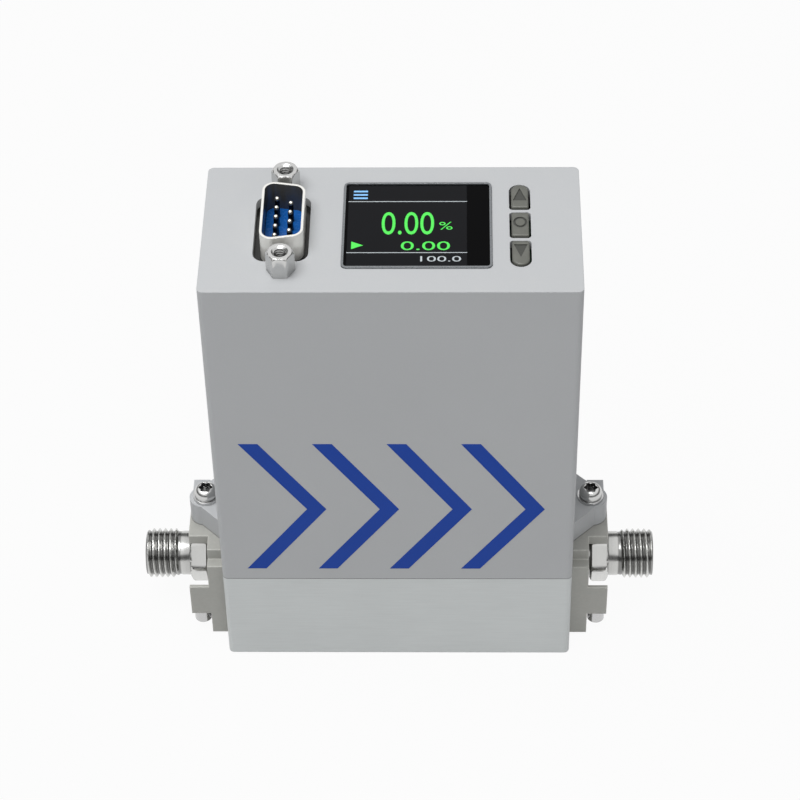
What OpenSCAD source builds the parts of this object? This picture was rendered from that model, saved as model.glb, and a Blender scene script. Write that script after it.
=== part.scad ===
// Mass flow controller: a flow block between two tube fittings, with a flow sensor and a control
// valve under a tall cover that carries a display, three keys and a 9-way connector.
// Origin: centre of the base block's underside. +X runs from inlet to outlet, -Y is the front, +Z is up.

/* [Body] */
// Width of the base block and the cover, along the flow
body_w = 76; // [74:0.5:92]
// Depth of the base block and the cover, front to back
body_d = 38; // [37:0.5:46]
// Height from the underside to the top face of the cover
body_h = 109; // [107:0.5:130]
// Height of the base block, up to its joint with the cover
base_h = 24.7; // [24:0.1:28]
// Radius of the upright corners of the base block and the cover
corner_r = 1.2; // [0.6:0.1:1.8]
// Thickness of the cover's side walls
cover_wall = 2; // [1.5:0.1:2.4]
// Thickness of the cover's top
cover_top = 2; // [1.6:0.1:2.6]
// Height of the step on the base block that locates the cover
locator_h = 1.5; // [1:0.1:2.5]
// Gap on each side between the locating step and the cover
locator_gap = 0.1; // [0.05:0.01:0.2]

/* [Flow path] */
// Height of the flow axis over the underside
port_z = 12.1; // [11.6:0.1:12.8]
// Diameter of the gas passages
passage_d = 4; // [3:0.1:5]
// Diameter of the chamber that holds the flow element
chamber_d = 8.4; // [7.6:0.1:8.6]
// Length of the flow element
element_l = 30; // [22:0.5:34]
// Gap round the flow element and the screen
element_gap = 0.04; // [0.03:0.01:0.08]
// Number of flow slots in the flow element
element_slots = 8; // [4:1:10]
// Width of each flow slot
slot_w = 0.8; // [0.5:0.1:1]
// Thickness of the inlet screen
screen_t = 1.5; // [1:0.1:2.5]

/* [End blocks] */
// Depth of an end block, front to back
block_d = 26; // [25:0.5:30]
// Thickness of the plate that lies against the base block
plate_t = 4; // [3.8:0.1:5]
// How far the lugs stand out from the plate
lug_t = 4.3; // [4.2:0.1:5]
// Height of the lower lugs' underside
lug_z = 6.3; // [5.5:0.1:7]
// Height of the lower lugs' outer edge
lug_top_z = 15; // [14:0.1:16]
// Height of the step in the plate's front and back faces
step_z = 21.8; // [21:0.1:22.4]
// Depth of that step
step_d = 2.4; // [1.5:0.1:3]
// Width of the upper lug, front to back
bar_d = 13; // [12:0.5:15]
// Thickness of the upper lug
bar_h = 2.4; // [1.8:0.1:3]
// Depth of the boss under the upper lug, round the ear screw
ear_boss_h = 5.4; // [4.6:0.1:5.6]

/* [Fittings] */
// How far a fitting stands out from the base block's end
fitting_reach = 18.8; // [17:0.1:22]
// Major diameter of the fitting's thread
thread_d = 11.1; // [10.6:0.1:11.6]
// Length of the threaded end
thread_l = 7.6; // [6:0.1:8.5]
// Diameter of the plain collar behind the thread
collar_d = 9.9; // [9:0.1:10.4]
// Diameter of the tube socket
tube_bore_d = 6.4; // [6:0.05:6.6]
// Depth of the tube socket
tube_bore_l = 8; // [6:0.5:10]
// Size across the flats of the fitting's hexagon
hex_af = 11.1; // [10.6:0.1:12]
// Length of the hexagon along the axis
hex_l = 4; // [3:0.1:4.5]
// Gap between the hexagon and the plate
hex_gap = 0.8; // [0.5:0.1:1.2]
// Diameter of the spigot that enters the base block
spigot_d = 9; // [8.6:0.1:9.4]
// Length of the spigot inside the base block
spigot_l = 6; // [5:0.5:6.5]
// Gap on each side round the spigot
spigot_gap = 0.05; // [0.03:0.01:0.08]
// Thickness of the seal rings on the spigots
seal_t = 1.4; // [1.2:0.1:1.6]

/* [Ears and fasteners] */
// How far the cover's ears stand out from its sides
ear_reach = 8.1; // [8:0.1:9]
// Depth of an ear where it meets the cover
ear_root_d = 17; // [16:0.5:20]
// Thickness of an ear
ear_t = 5.9; // [5:0.1:7]
// Distance of the ear screw's axis from the base block's end
ear_screw_x = 4.4; // [4.2:0.1:4.6]
// Diameter of the ear screw's shank
ear_screw_d = 3; // [2.5:0.1:3.2]
// Head diameter of the ear screw
ear_head_d = 5; // [4.6:0.1:5.2]
// Head height of the ear screw
ear_head_h = 2.2; // [1.8:0.1:2.6]
// Outer diameter of the washer under that head
washer_d = 5.8; // [5.5:0.1:6.2]
// Thickness of that washer
washer_t = 0.8; // [0.5:0.1:1]
// Diameter of the lug screws' shank
lug_screw_d = 2.5; // [2:0.1:2.6]
// Head diameter of the lug screws
lug_head_d = 3.8; // [3.4:0.1:4]
// Head height of the lug screws
lug_head_h = 4; // [3:0.1:4.6]
// Distance of the lug screws from the flow axis, front to back
lug_screw_y = 10.3; // [10:0.1:10.6]
// Shank diameter of the screws that hold the end blocks
block_screw_d = 3; // [2.5:0.1:3.2]
// Distance of those screws from the flow axis, front to back
block_screw_y = 9.4; // [9.2:0.1:9.7]
// Height of the upper pair of those screws
block_screw_top_z = 18.4; // [18:0.1:18.8]
// Height of the lower pair of those screws
block_screw_low_z = 4.2; // [4:0.1:5]
// Play on each side round a screw in a plain hole
screw_play = 0.2; // [0.1:0.05:0.3]

/* [Feet holes] */
// Distance between the two mounting holes in the underside
foot_pitch = 50; // [40:0.5:60]
// Bore of each mounting hole, the core of an M4 thread
foot_bore_d = 3.3; // [3.2:0.05:3.4]
// Depth of each mounting hole
foot_bore_l = 5; // [3:0.5:5.5]

/* [Sensor and valve] */
// Distance of the sensor's centre from the middle, towards the inlet
sensor_x = 19; // [18:0.5:20]
// Length of the sensor body along the flow
sensor_l = 28; // [27.5:0.5:29]
// Depth of the sensor body
sensor_d = 14; // [12:0.5:16]
// Height of the sensor body
sensor_h = 8; // [7:0.5:12]
// Distance between the two sensor taps
tap_pitch = 12; // [10:0.5:12]
// Distance of the valve axis from the middle, towards the outlet
valve_x = 18; // [17.5:0.5:18.5]
// Side of the square valve flange
valve_flange = 24; // [23:0.5:25]
// Thickness of the valve flange
valve_flange_t = 5; // [4.4:0.1:6]
// Outer diameter of the valve's guide tube
guide_d = 10; // [9.6:0.1:10.4]
// Wall of the guide tube
guide_wall = 0.8; // [0.6:0.1:1]
// Height of the coil
coil_h = 26; // [22:0.5:30]
// Outer diameter of the coil
coil_d = 21; // [19:0.5:22]
// Thickness of the yoke's plates
yoke_t = 2; // [1.5:0.1:2.5]
// Length of the plunger
plunger_l = 18; // [15:0.5:20]
// Travel of the plunger
plunger_travel = 0.4; // [0.3:0.05:0.6]
// Running gap round the plunger
plunger_gap = 0.06; // [0.04:0.01:0.1]
// Turns of the plunger's spring
spring_turns = 5; // [4:1:6]
// Wire diameter of the spring
spring_wire = 0.6; // [0.5:0.05:0.7]

/* [Display] */
// Width of the window glass
window_w = 29; // [27:0.1:30]
// Depth of the window glass, front to back
window_d = 25; // [24:0.1:25.6]
// Distance of the window's centre from the middle, to the right
window_x = 5.1; // [4.9:0.1:5.4]
// Distance of the window's centre from the middle, to the back
window_y = 0.9; // [0:0.1:1]
// Thickness of the window glass
window_t = 1.6; // [1.2:0.1:1.9]
// Width of the thin rim round the glass
bezel_w = 0.5; // [0.4:0.05:0.7]
// Height of that rim over the cover
bezel_rise = 0.35; // [0.2:0.05:0.6]
// Width of the ledge in the cover that carries the glass
ledge_w = 1; // [0.8:0.1:1.2]
// Width of the display panel
panel_w = 25.5; // [24:0.1:26]
// Depth of the display panel, front to back
panel_d = 21.5; // [20:0.1:22]
// Thickness of the display panel
panel_t = 2; // [1.5:0.1:2.4]

/* [Keys] */
// Width of a key
key_w = 4; // [3.6:0.1:4.2]
// Length of a key, front to back
key_l = 7.5; // [7:0.1:7.8]
// Distance between the keys' centres
key_pitch = 8.6; // [8.5:0.05:9]
// Distance of the keys' centre line from the middle, to the right
key_x = 25.75; // [25.5:0.05:27]
// Distance of the middle key's centre from the middle, to the back
key_y = 0.9; // [0:0.1:1.2]
// Gap on each side between a key and the cover
key_gap = 0.15; // [0.1:0.01:0.25]
// Height of a key over the cover
key_rise = 0.4; // [0.2:0.05:0.6]
// Travel of a key
key_travel = 0.5; // [0.3:0.05:0.55]

/* [Connector] */
// Distance of the connector's centre from the middle, to the left
plug_x = 21.7; // [21:0.1:22.2]
// Length of the connector shell on its long side, outside
shell_l = 17.3; // [17:0.1:17.6]
// Width of the connector shell, outside
shell_w = 8.7; // [8.4:0.1:9]
// Thickness of the shell's sheet
shell_t = 0.5; // [0.4:0.05:0.6]
// Slope of the shell's short sides
shell_slope = 10; // [8:0.5:12]
// Height of the shell's rim over the cover
shell_rise = 4.9; // [4:0.1:6]
// Pitch of the pins in a row
pin_pitch = 2.77; // [2.7:0.01:2.8]
// Distance between the two rows of pins
pin_row = 2.84; // [2.8:0.01:2.9]
// Diameter of a pin
pin_d = 1; // [0.9:0.05:1.1]
// Distance between the jack screws
jack_pitch = 25; // [24.8:0.1:25.4]
// Size across the flats of a jack screw
jack_af = 5; // [4.6:0.1:5.4]
// Height of a jack screw's hexagon
jack_h = 5; // [4.4:0.1:5.6]
// Bore of the threaded hole in a jack screw, the core of a No. 4-40 thread
jack_bore_d = 2.4; // [2.2:0.05:2.6]
// Shank diameter of a jack screw
jack_shank_d = 2.8; // [2.6:0.05:3]

/* [Hidden] */
$fn = 48;
eps = 0.01;                 // overlap of a cut with the face that it opens

deck_z = base_h + locator_h;            // top of the locating step, where the inner parts stand
ceiling_z = body_h - cover_top;         // underside of the cover's top
half_w = body_w / 2;
inner_w = body_w - 2 * cover_wall;
inner_d = body_d - 2 * cover_wall;
inner_r = max(corner_r - cover_wall, 0.4);

// Flow path along X: spigot pocket, screen, flow element, then the passage to the valve
pocket_d = spigot_d + 2 * spigot_gap;
chamber_x0 = -half_w + spigot_l;        // inlet end of the chamber
element_x0 = chamber_x0 + screen_t;
chamber_x1 = element_x0 + element_l;    // outlet end of the chamber
seat_d = 5;                             // diameter of the valve seat
seat_h = 3;
seat_bore_d = 2;
seat_lip_d = 3;
riser_d = 3;                            // passage from the flow axis up to the seat
seat_lip_h = 0.3;
valve_port_d = 1.4;                     // the valve's outlet port, beside its seat
valve_port_x = 3.3;
valve_bowl_d = guide_d - 2 * guide_wall;

// End blocks and fittings, measured outwards from the base block's end
plate_x1 = plate_t;
plate_bore_d = spigot_d + 0.6;
hex_x0 = plate_x1 + hex_gap;
hex_x1 = hex_x0 + hex_l;
thread_x0 = fitting_reach - thread_l;
lip_w = 0.8;                            // flat top of a lower lug
pocket_y = hex_af / 2 + 1.6;            // half of the gap between the lower lugs
lug_slope_z = lug_z + 2.2;              // where a lug's sloping top meets its inner face
seal_play = 0.02;                       // gap on each side between a seal and its groove
seal_groove = seal_t + 2 * seal_play - spigot_gap;  // depth of that groove
seal_x = 3;                             // distance of the seal from the base block's end
block_head_d = block_screw_d + 2.2;
block_head_h = 2;
block_screw_l = 10;
block_socket_af = 2.5;
lug_screw_l = 4;

// Sensor
sensor_screw_x = sensor_l / 2 - 3;
sensor_screw_d = 2.5;
sensor_head_d = 4.5;
sensor_head_h = 2;
sensor_screw_l = 6;                     // depth of the screw holes under the sensor body
sensor_foot_h = 3;                      // height of the seats of its screws over the deck
tap_seal_r = 2.2;
face_seal_t = 0.9;                      // thickness of the flat seals on the deck
face_groove = 0.95;                     // depth of their grooves
chip_size = [9, 6, 1];

// Valve, measured upwards from the deck
valve_screw_d = 3;
valve_head_d = 5;
valve_head_h = 2.4;
valve_socket_af = 2.5;
valve_screw_l = 6;
valve_screw_o = valve_flange / 2 - 3;
coil_z0 = deck_z + valve_flange_t + yoke_t;
coil_z1 = coil_z0 + coil_h;
guide_z1 = coil_z1 + yoke_t + 5;
plunger_z0 = deck_z + seat_lip_h;
plunger_z1 = plunger_z0 + plunger_l;
plunger_d = valve_bowl_d - 2 * plunger_gap;
stop_z = plunger_z1 + plunger_travel + 0.2;  // fixed core above the plunger
spring_bore = 5;
spring_depth = 6;
spring_d = 3.6;
nut_h = 4;
nut_af = 15;

// Boards
board_t = 1.6;
board_z1 = ceiling_z - 7;               // top of the display board
board_gap_x = 2;                        // gap between the display board and the cover, left and right
board_gap_y = 1.5;                      // and at the front and back
board_w = inner_w - 2 * board_gap_x;
board_d = inner_d - 2 * board_gap_y;
post_d = 5;
post_bore_d = 2;
post_y = board_d / 2 - 2.6;
post_x = board_w / 2 - 2.6;
small_head_d = 3.6;
small_head_h = 1.4;
small_screw_l = 6;
main_w = 56;
main_z0 = deck_z + 8;
main_z1 = board_z1 - board_t - 2.6;
main_stand = 3;                         // distance of the main board from the cover's back wall
main_y = inner_d / 2 - main_stand;      // back face of the main board
main_post_in = 4;                       // distance of its posts from its ends
main_post_x = main_w / 2 - main_post_in;
main_screw_grip = 2.4;                  // how far its screws reach into the posts
main_post_z = [main_z0 + 5, main_z1 - 6];
header_drop = 6;                        // how far the header reaches down the main board
header_size = [20, 2.5, board_z1 - board_t - main_z1 + header_drop];

// Display stack
window_z0 = body_h - window_t;
glass_r = 0.6;
rim_w = window_w + 2 * bezel_w;         // cut-out in the cover for the rim
rim_d = window_d + 2 * bezel_w;
panel_z1 = ceiling_z - 0.1;
panel_x = window_x - 2;
holder_wall = 1.2;

// Keys
key_corner = 0.6;
key_skirt = 0.7;                        // how far a key's skirt reaches under the cover
key_skirt_t = 0.7;
key_skirt_gap = 0.1;
key_top_z = body_h + key_rise;
switch_size = [3.4, 4.2, 2];
switch_stem_d = 1.6;
switch_stem_h = 0.6;
key_stem_d = 2;
key_stem_z = board_z1 + switch_size[2] + switch_stem_h + key_travel + 0.1;

// Connector
shell_r = 2.4;
flange_t = 0.8;
flange_l = 30.8;
flange_w = 12.5;
flange_z1 = ceiling_z - 0.05;
shell_z0 = flange_z1 - flange_t;
shell_z1 = body_h + shell_rise;
insert_gap = 0.05;
insert_z1 = shell_z1 - 6.4;             // face of the blue insert, inside the shell
insert_back_l = 19;
insert_back_w = 10.6;
plug_gap = 1.2;                         // gap between the shell and the cut-out in the cover
plug_shift = 0.3;                       // the cut-out lies this far left of the shell
pin_z1 = shell_z1 - 1.3;
tail_l = 2.6;                           // pin tails below the display board
jack_hole_d = jack_shank_d + 2 * screw_play;
jack_shank_l = 6;

// A rectangle with round corners, centred
module rounded(w, d, r) {
    square([w - 2 * r, d], center = true);
    square([w, d - 2 * r], center = true);
    for (x = [-1, 1], y = [-1, 1])
        translate([x * (w / 2 - r), y * (d / 2 - r)]) circle(r);
}

// A block with round upright corners, standing on z = 0
module rounded_block(w, d, h, r) {
    linear_extrude(h) rounded(w, d, r);
}

// A cylinder along +X from x0 to x1 on the flow axis
module along_x(d, x0, x1) {
    translate([x0, 0, port_z]) rotate([0, 90, 0]) cylinder(d = d, h = x1 - x0);
}

// A hexagonal prism along +Z, with a flat facing the front
module hex_prism(af, h) {
    cylinder(d = af / cos(30), h = h, $fn = 6);
}

// A cap screw hanging from z = 0: head above, shank below, hexagon socket in the head
module cap_screw(d, l, head_d, head_h, socket_af) {
    difference() {
        union() {
            cylinder(d = head_d, h = head_h);
            translate([0, 0, -l]) cylinder(d = d, h = l + eps);
        }
        translate([0, 0, head_h * 0.45]) hex_prism(socket_af, head_h);
    }
}

// Places its children at the inlet end or, mirrored, at the outlet end, with +X pointing outwards
module at_end(side) {
    if (side > 0) translate([half_w, 0, 0]) children();
    else mirror([1, 0, 0]) translate([half_w, 0, 0]) children();
}

// The connector's D outline, its long side on the left, grown outwards by g
module d_outline(g) {
    r = shell_r + g;
    hx = shell_w / 2 - shell_r;
    tilt = tan(shell_slope) * hx;
    yl = shell_l / 2 - shell_r;
    yr = yl - 2 * tilt;
    c = cos(shell_slope) * r;
    s = sin(shell_slope) * r;
    polygon([[-hx - r, -yl], [-hx - r, yl], [-hx + s, yl + c], [hx + s, yr + c],
        [hx + r, yr], [hx + r, -yr], [hx + s, -yr - c], [-hx + s, -yl - c]]);
    for (y = [-1, 1]) {
        translate([-hx, y * yl]) circle(r);
        translate([hx, y * yr]) circle(r);
    }
}

// Positions of the nine pins: five on the left, four on the right
PINS = [for (i = [0 : 8]) i < 5
    ? [-pin_row / 2, (i - 2) * pin_pitch]
    : [pin_row / 2, (i - 6.5) * pin_pitch]];

module at_plug() { translate([-plug_x, 0, 0]) children(); }
module at_jacks() { for (y = [-1, 1]) at_plug() translate([0, y * jack_pitch / 2, 0]) children(); }
module at_key(i) { translate([key_x, key_y + i * key_pitch, 0]) children(); }
module at_posts() { for (x = [-1, 1], y = [-1, 1]) translate([x * post_x, y * post_y, 0]) children(); }
module at_main_posts() {
    for (x = [-1, 1], z = main_post_z)
        translate([x * main_post_x, main_y, z]) rotate([-90, 0, 0]) children();
}
module at_valve() { translate([valve_x, 0, 0]) children(); }
module at_sensor() { translate([-sensor_x, 0, 0]) children(); }

module base_block() {
    color("gainsboro") difference() {
        union() {
            rounded_block(body_w, body_d, base_h, corner_r);
            rounded_block(inner_w - 2 * locator_gap, inner_d - 2 * locator_gap, deck_z, inner_r);
        }
        along_x(pocket_d, -half_w - eps, chamber_x0);
        along_x(pocket_d, half_w - spigot_l, half_w + eps);
        along_x(chamber_d, chamber_x0, chamber_x1);
        along_x(passage_d, chamber_x1 - eps, valve_x + riser_d / 4);
        along_x(passage_d, valve_x + valve_port_x - valve_port_d / 2 - 0.4, half_w - spigot_l + eps);
        at_valve() {
            translate([0, 0, port_z]) cylinder(d = riser_d, h = deck_z);
            translate([0, 0, deck_z - seat_h]) cylinder(d = seat_d, h = seat_h + eps);
            translate([valve_port_x, 0, port_z]) cylinder(d = valve_port_d, h = deck_z);
            for (y = [-1, 1], x = [-1, 1])
                translate([x * valve_screw_o, y * valve_screw_o, deck_z - valve_screw_l - 1])
                    cylinder(d = valve_screw_d + 0.1, h = valve_screw_l + 2);
        }
        at_sensor() {
            for (x = [-1, 1]) {
                translate([x * tap_pitch / 2, 0, port_z]) cylinder(d = 2, h = deck_z);
                translate([x * sensor_screw_x, 0, deck_z - sensor_screw_l - 0.5])
                    cylinder(d = sensor_screw_d + 0.1, h = sensor_screw_l + 1);
            }
        }
        for (x = [-1, 1])
            translate([x * foot_pitch / 2, 0, -eps]) cylinder(d = foot_bore_d, h = foot_bore_l + eps);
        for (side = [-1, 1], y = [-1, 1], z = [block_screw_low_z, block_screw_top_z])
            at_end(side) translate([eps, y * block_screw_y, z]) rotate([0, -90, 0])
                cylinder(d = block_screw_d + 0.1, h = block_screw_l - plate_t + block_head_h + 1);
    }
}

// An end block, with +X pointing outwards from the base block's end
module end_block() {
    boss_d = ear_screw_d + 3;
    difference() {
        union() {
            translate([0, -block_d / 2, 0]) cube([plate_x1, block_d, step_z]);
            translate([0, -block_d / 2 + step_d, 0]) cube([plate_x1, block_d - 2 * step_d, base_h]);
            translate([plate_x1 - eps, -bar_d / 2, base_h - bar_h]) cube([lug_t + eps, bar_d, bar_h]);
            translate([ear_screw_x, 0, base_h - ear_boss_h]) cylinder(d = boss_d, h = ear_boss_h);
            lower_lug();
            mirror([0, 1, 0]) lower_lug();
        }
        translate([-eps, 0, port_z]) rotate([0, 90, 0]) cylinder(d = plate_bore_d, h = plate_t + 2 * eps);
        translate([ear_screw_x, 0, base_h - ear_boss_h - eps])
            cylinder(d = ear_screw_d + 0.1, h = ear_boss_h + 2 * eps);
        for (y = [-1, 1]) {
            translate([plate_x1 + lug_t / 2, y * lug_screw_y, lug_z - eps])
                cylinder(d = lug_screw_d + 0.1, h = lug_screw_l + 0.5);
            for (z = [block_screw_low_z, block_screw_top_z]) translate([0, y * block_screw_y, z]) {
                translate([-eps, 0, 0]) rotate([0, 90, 0])
                    cylinder(d = block_screw_d + 2 * screw_play, h = plate_t + 2 * eps);
                translate([plate_t - block_head_h, 0, 0]) rotate([0, 90, 0])
                    cylinder(d = block_head_d + 2 * screw_play, h = block_head_h + lug_t + eps);
            }
        }
    }
}

// One lower lug, at the back, with a top that slopes down towards the hexagon
module lower_lug() {
    translate([plate_x1 - eps, 0, 0]) rotate([90, 0, 90]) linear_extrude(lug_t + eps)
        polygon([[pocket_y, lug_z], [block_d / 2, lug_z], [block_d / 2, lug_top_z],
            [block_d / 2 - lip_w, lug_top_z], [pocket_y, lug_slope_z]]);
}

module inlet_block() { color("darkgray") at_end(-1) end_block(); }
module outlet_block() { color("darkgray") at_end(1) end_block(); }

// A tube fitting, with +X pointing outwards from the base block's end
module fitting() {
    mouth_l = 1;                        // flared mouth of the tube socket
    tip = 0.6;                          // chamfer at the start of the thread
    neck_x = -spigot_l + 0.2;
    difference() {
        translate([0, 0, port_z]) rotate([0, 90, 0]) union() {
            difference() {
                translate([0, 0, neck_x]) cylinder(d = spigot_d, h = hex_x0 - neck_x + eps);
                translate([0, 0, -seal_x - seal_t / 2 - 0.1]) difference() {
                    cylinder(d = spigot_d + 1, h = seal_t + 0.2);
                    translate([0, 0, -eps]) cylinder(d = spigot_d - 2 * seal_groove, h = seal_t + 1);
                }
            }
            translate([0, 0, hex_x0]) rotate(30) hex_prism(hex_af, hex_l);
            translate([0, 0, hex_x1 - eps]) cylinder(d = collar_d, h = thread_x0 - hex_x1 + 2 * eps);
            translate([0, 0, thread_x0]) cylinder(d = thread_d, h = thread_l - tip);
            translate([0, 0, fitting_reach - tip - eps])
                cylinder(d1 = thread_d, d2 = thread_d - 2 * tip, h = tip + eps);
        }
        translate([fitting_reach - tube_bore_l, 0, port_z]) rotate([0, 90, 0])
            cylinder(d = tube_bore_d, h = tube_bore_l + eps);
        translate([fitting_reach - mouth_l, 0, port_z]) rotate([0, 90, 0])
            cylinder(d1 = tube_bore_d, d2 = tube_bore_d + 1.4, h = mouth_l + eps);
        translate([neck_x - eps, 0, port_z]) rotate([0, 90, 0])
            cylinder(d = passage_d, h = fitting_reach - tube_bore_l - neck_x + 2 * eps);
    }
}

module inlet_fitting() { color("lightgray") at_end(-1) fitting(); }
module outlet_fitting() { color("lightgray") at_end(1) fitting(); }

module fitting_seals() {
    ring_r = pocket_d / 2 - seal_play - seal_t / 2;
    color("dimgray") for (side = [-1, 1]) at_end(side)
        translate([-seal_x, 0, port_z]) rotate([0, 90, 0])
            rotate_extrude() translate([ring_r, 0]) circle(d = seal_t, $fn = 24);
}

module block_screws() {
    color("silver") for (side = [-1, 1], y = [-1, 1], z = [block_screw_low_z, block_screw_top_z])
        at_end(side) translate([plate_t - block_head_h, y * block_screw_y, z]) rotate([0, 90, 0])
            cap_screw(block_screw_d, block_screw_l, block_head_d, block_head_h, block_socket_af);
}

module lug_screws() {
    color("silver") for (side = [-1, 1], y = [-1, 1])
        at_end(side) translate([plate_x1 + lug_t / 2, y * lug_screw_y, lug_z]) rotate([180, 0, 0])
            cap_screw(lug_screw_d, lug_screw_l, lug_head_d, lug_head_h, 2);
}

module flow_screen() {
    color("silver") along_x(chamber_d - 2 * element_gap, chamber_x0, chamber_x0 + screen_t);
}

module flow_element() {
    hub = 1.8;                          // radius of the solid core
    color("lightsteelblue") translate([element_x0, 0, port_z]) rotate([0, 90, 0]) difference() {
        cylinder(d = chamber_d - 2 * element_gap, h = element_l);
        for (i = [0 : element_slots - 1]) rotate(i * 360 / element_slots)
            translate([hub, -slot_w / 2, -eps]) cube([chamber_d, slot_w, element_l + 2 * eps]);
    }
}

// The ear's outline: a root that narrows at 45 degrees, a round nose and a square rear corner
module ear_outline() {
    nose_r = 3.2;
    rear_w = 3.6;
    rear_d = 5.1;
    half = ear_root_d / 2;
    polygon([[-1, -half], [0, -half], [half - 1.5, -1.5], [half - 1.5, 1.5], [0, half], [-1, half]]);
    translate([ear_reach - nose_r, 0]) circle(nose_r);
    translate([ear_reach - 0.7 - rear_w, 0]) square([rear_w, rear_d]);
}

module cover() {
    color("silver") difference() {
        union() {
            difference() {
                translate([0, 0, base_h]) rounded_block(body_w, body_d, body_h - base_h, corner_r);
                translate([0, 0, base_h - eps])
                    rounded_block(inner_w, inner_d, ceiling_z - base_h + eps, inner_r);
            }
            for (side = [-1, 1]) at_end(side) translate([0, 0, base_h]) linear_extrude(ear_t) ear_outline();
            at_posts() translate([0, 0, board_z1]) cylinder(d = post_d, h = ceiling_z - board_z1 + eps);
            at_main_posts() cylinder(d = post_d, h = inner_d / 2 - main_y + eps);
        }
        for (side = [-1, 1]) at_end(side) translate([ear_screw_x, 0, base_h - eps])
            cylinder(d = ear_screw_d + 2 * screw_play, h = ear_t + 2 * eps);
        at_posts() translate([0, 0, board_z1 - eps]) cylinder(d = post_bore_d, h = small_screw_l);
        at_main_posts() translate([0, 0, -eps]) cylinder(d = post_bore_d, h = main_stand);
        translate([window_x, window_y, window_z0])
            rounded_block(rim_w, rim_d, window_t + eps, glass_r + bezel_w);
        translate([window_x, window_y, ceiling_z - eps])
            rounded_block(window_w - 2 * ledge_w, window_d - 2 * ledge_w, cover_top, glass_r);
        for (i = [-1 : 1]) at_key(i) translate([0, 0, ceiling_z - eps])
            linear_extrude(cover_top + 2 * eps) key_outline(i, key_gap);
        at_plug() translate([-plug_shift, 0, ceiling_z - eps])
            rounded_block(shell_w + 2 * plug_gap, shell_l + 2 * plug_gap, cover_top + 2 * eps, shell_r);
        at_jacks() translate([0, 0, ceiling_z - eps]) cylinder(d = jack_hole_d, h = cover_top + 2 * eps);
    }
}

module cover_screws() {
    color("silver") for (side = [-1, 1])
        at_end(side) translate([ear_screw_x, 0, base_h + ear_t + washer_t])
            cap_screw(ear_screw_d, ear_t + washer_t + 5, ear_head_d, ear_head_h, 2);
}

module cover_washers() {
    color("silver") for (side = [-1, 1])
        at_end(side) translate([ear_screw_x, 0, base_h + ear_t]) difference() {
            cylinder(d = washer_d, h = washer_t);
            translate([0, 0, -eps]) cylinder(d = ear_screw_d + 2 * screw_play, h = washer_t + 2 * eps);
        }
}

module sensor_body() {
    channel_z = 5;
    color("dimgray") at_sensor() translate([0, 0, deck_z]) difference() {
        rounded_block(sensor_l, sensor_d, sensor_h, 1);
        for (x = [-1, 1]) {
            translate([x * tap_pitch / 2, 0, -eps]) cylinder(d = 2, h = channel_z);
            translate([x * tap_pitch / 2, 0, -eps]) difference() {
                cylinder(d = 2 * tap_seal_r + face_seal_t + 0.1, h = face_groove);
                translate([0, 0, -eps]) cylinder(d = 2 * tap_seal_r - face_seal_t - 0.1, h = 2);
            }
            translate([x * sensor_screw_x, 0, -eps])
                cylinder(d = sensor_screw_d + 2 * screw_play, h = sensor_h + 1);
            translate([x * sensor_screw_x, 0, sensor_foot_h])
                cylinder(d = sensor_head_d + 2 * screw_play, h = sensor_h);
        }
        translate([-tap_pitch / 2, 0, channel_z - 1]) rotate([0, 90, 0]) cylinder(d = 1.6, h = tap_pitch);
        translate([0, 0, sensor_h - chip_size[2] + 0.5])
            cube([chip_size[0] + 0.4, chip_size[1] + 0.4, chip_size[2]], center = true);
    }
}

module sensor_chip() {
    color("darkgreen") at_sensor()
        translate([-chip_size[0] / 2, -chip_size[1] / 2, deck_z + sensor_h - chip_size[2]]) cube(chip_size);
}

module face_ring(r) {
    translate([0, 0, deck_z + face_seal_t / 2 + 0.01]) rotate_extrude()
        translate([r, 0]) circle(d = face_seal_t, $fn = 24);
}

module sensor_seals() {
    color("dimgray") at_sensor() for (x = [-1, 1]) translate([x * tap_pitch / 2, 0, 0]) face_ring(tap_seal_r);
}

module sensor_screws() {
    color("silver") at_sensor() for (x = [-1, 1])
        translate([x * sensor_screw_x, 0, deck_z + sensor_foot_h])
            cap_screw(sensor_screw_d, sensor_foot_h + sensor_screw_l - 1, sensor_head_d, sensor_head_h, 2);
}

module valve_seat() {
    color("gold") at_valve() difference() {
        union() {
            translate([0, 0, deck_z - seat_h]) cylinder(d = seat_d - 0.04, h = seat_h);
            translate([0, 0, deck_z - eps]) cylinder(d = seat_lip_d, h = seat_lip_h + eps);
        }
        translate([0, 0, deck_z - seat_h - eps]) cylinder(d = seat_bore_d, h = seat_h + 1);
    }
}

module valve_body() {
    color("lightgray") at_valve() difference() {
        union() {
            translate([0, 0, deck_z]) rounded_block(valve_flange, valve_flange, valve_flange_t, 1.5);
            translate([0, 0, deck_z]) cylinder(d = guide_d, h = guide_z1 - deck_z);
        }
        translate([0, 0, deck_z - eps]) cylinder(d = valve_bowl_d, h = stop_z - deck_z + eps);
        for (x = [-1, 1], y = [-1, 1]) translate([x * valve_screw_o, y * valve_screw_o, deck_z]) {
            translate([0, 0, -eps]) cylinder(d = valve_screw_d + 2 * screw_play, h = valve_flange_t + 1);
            translate([0, 0, valve_flange_t - valve_head_h])
                cylinder(d = valve_head_d + 2 * screw_play, h = valve_head_h + eps);
        }
        translate([0, 0, deck_z - eps]) difference() {
            cylinder(d = valve_bowl_d + 4, h = face_groove);
            translate([0, 0, -eps]) cylinder(d = valve_bowl_d + 1.6, h = 2);
        }
    }
}

module valve_seal() { color("dimgray") at_valve() face_ring(valve_bowl_d / 2 + 1.4); }

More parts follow.
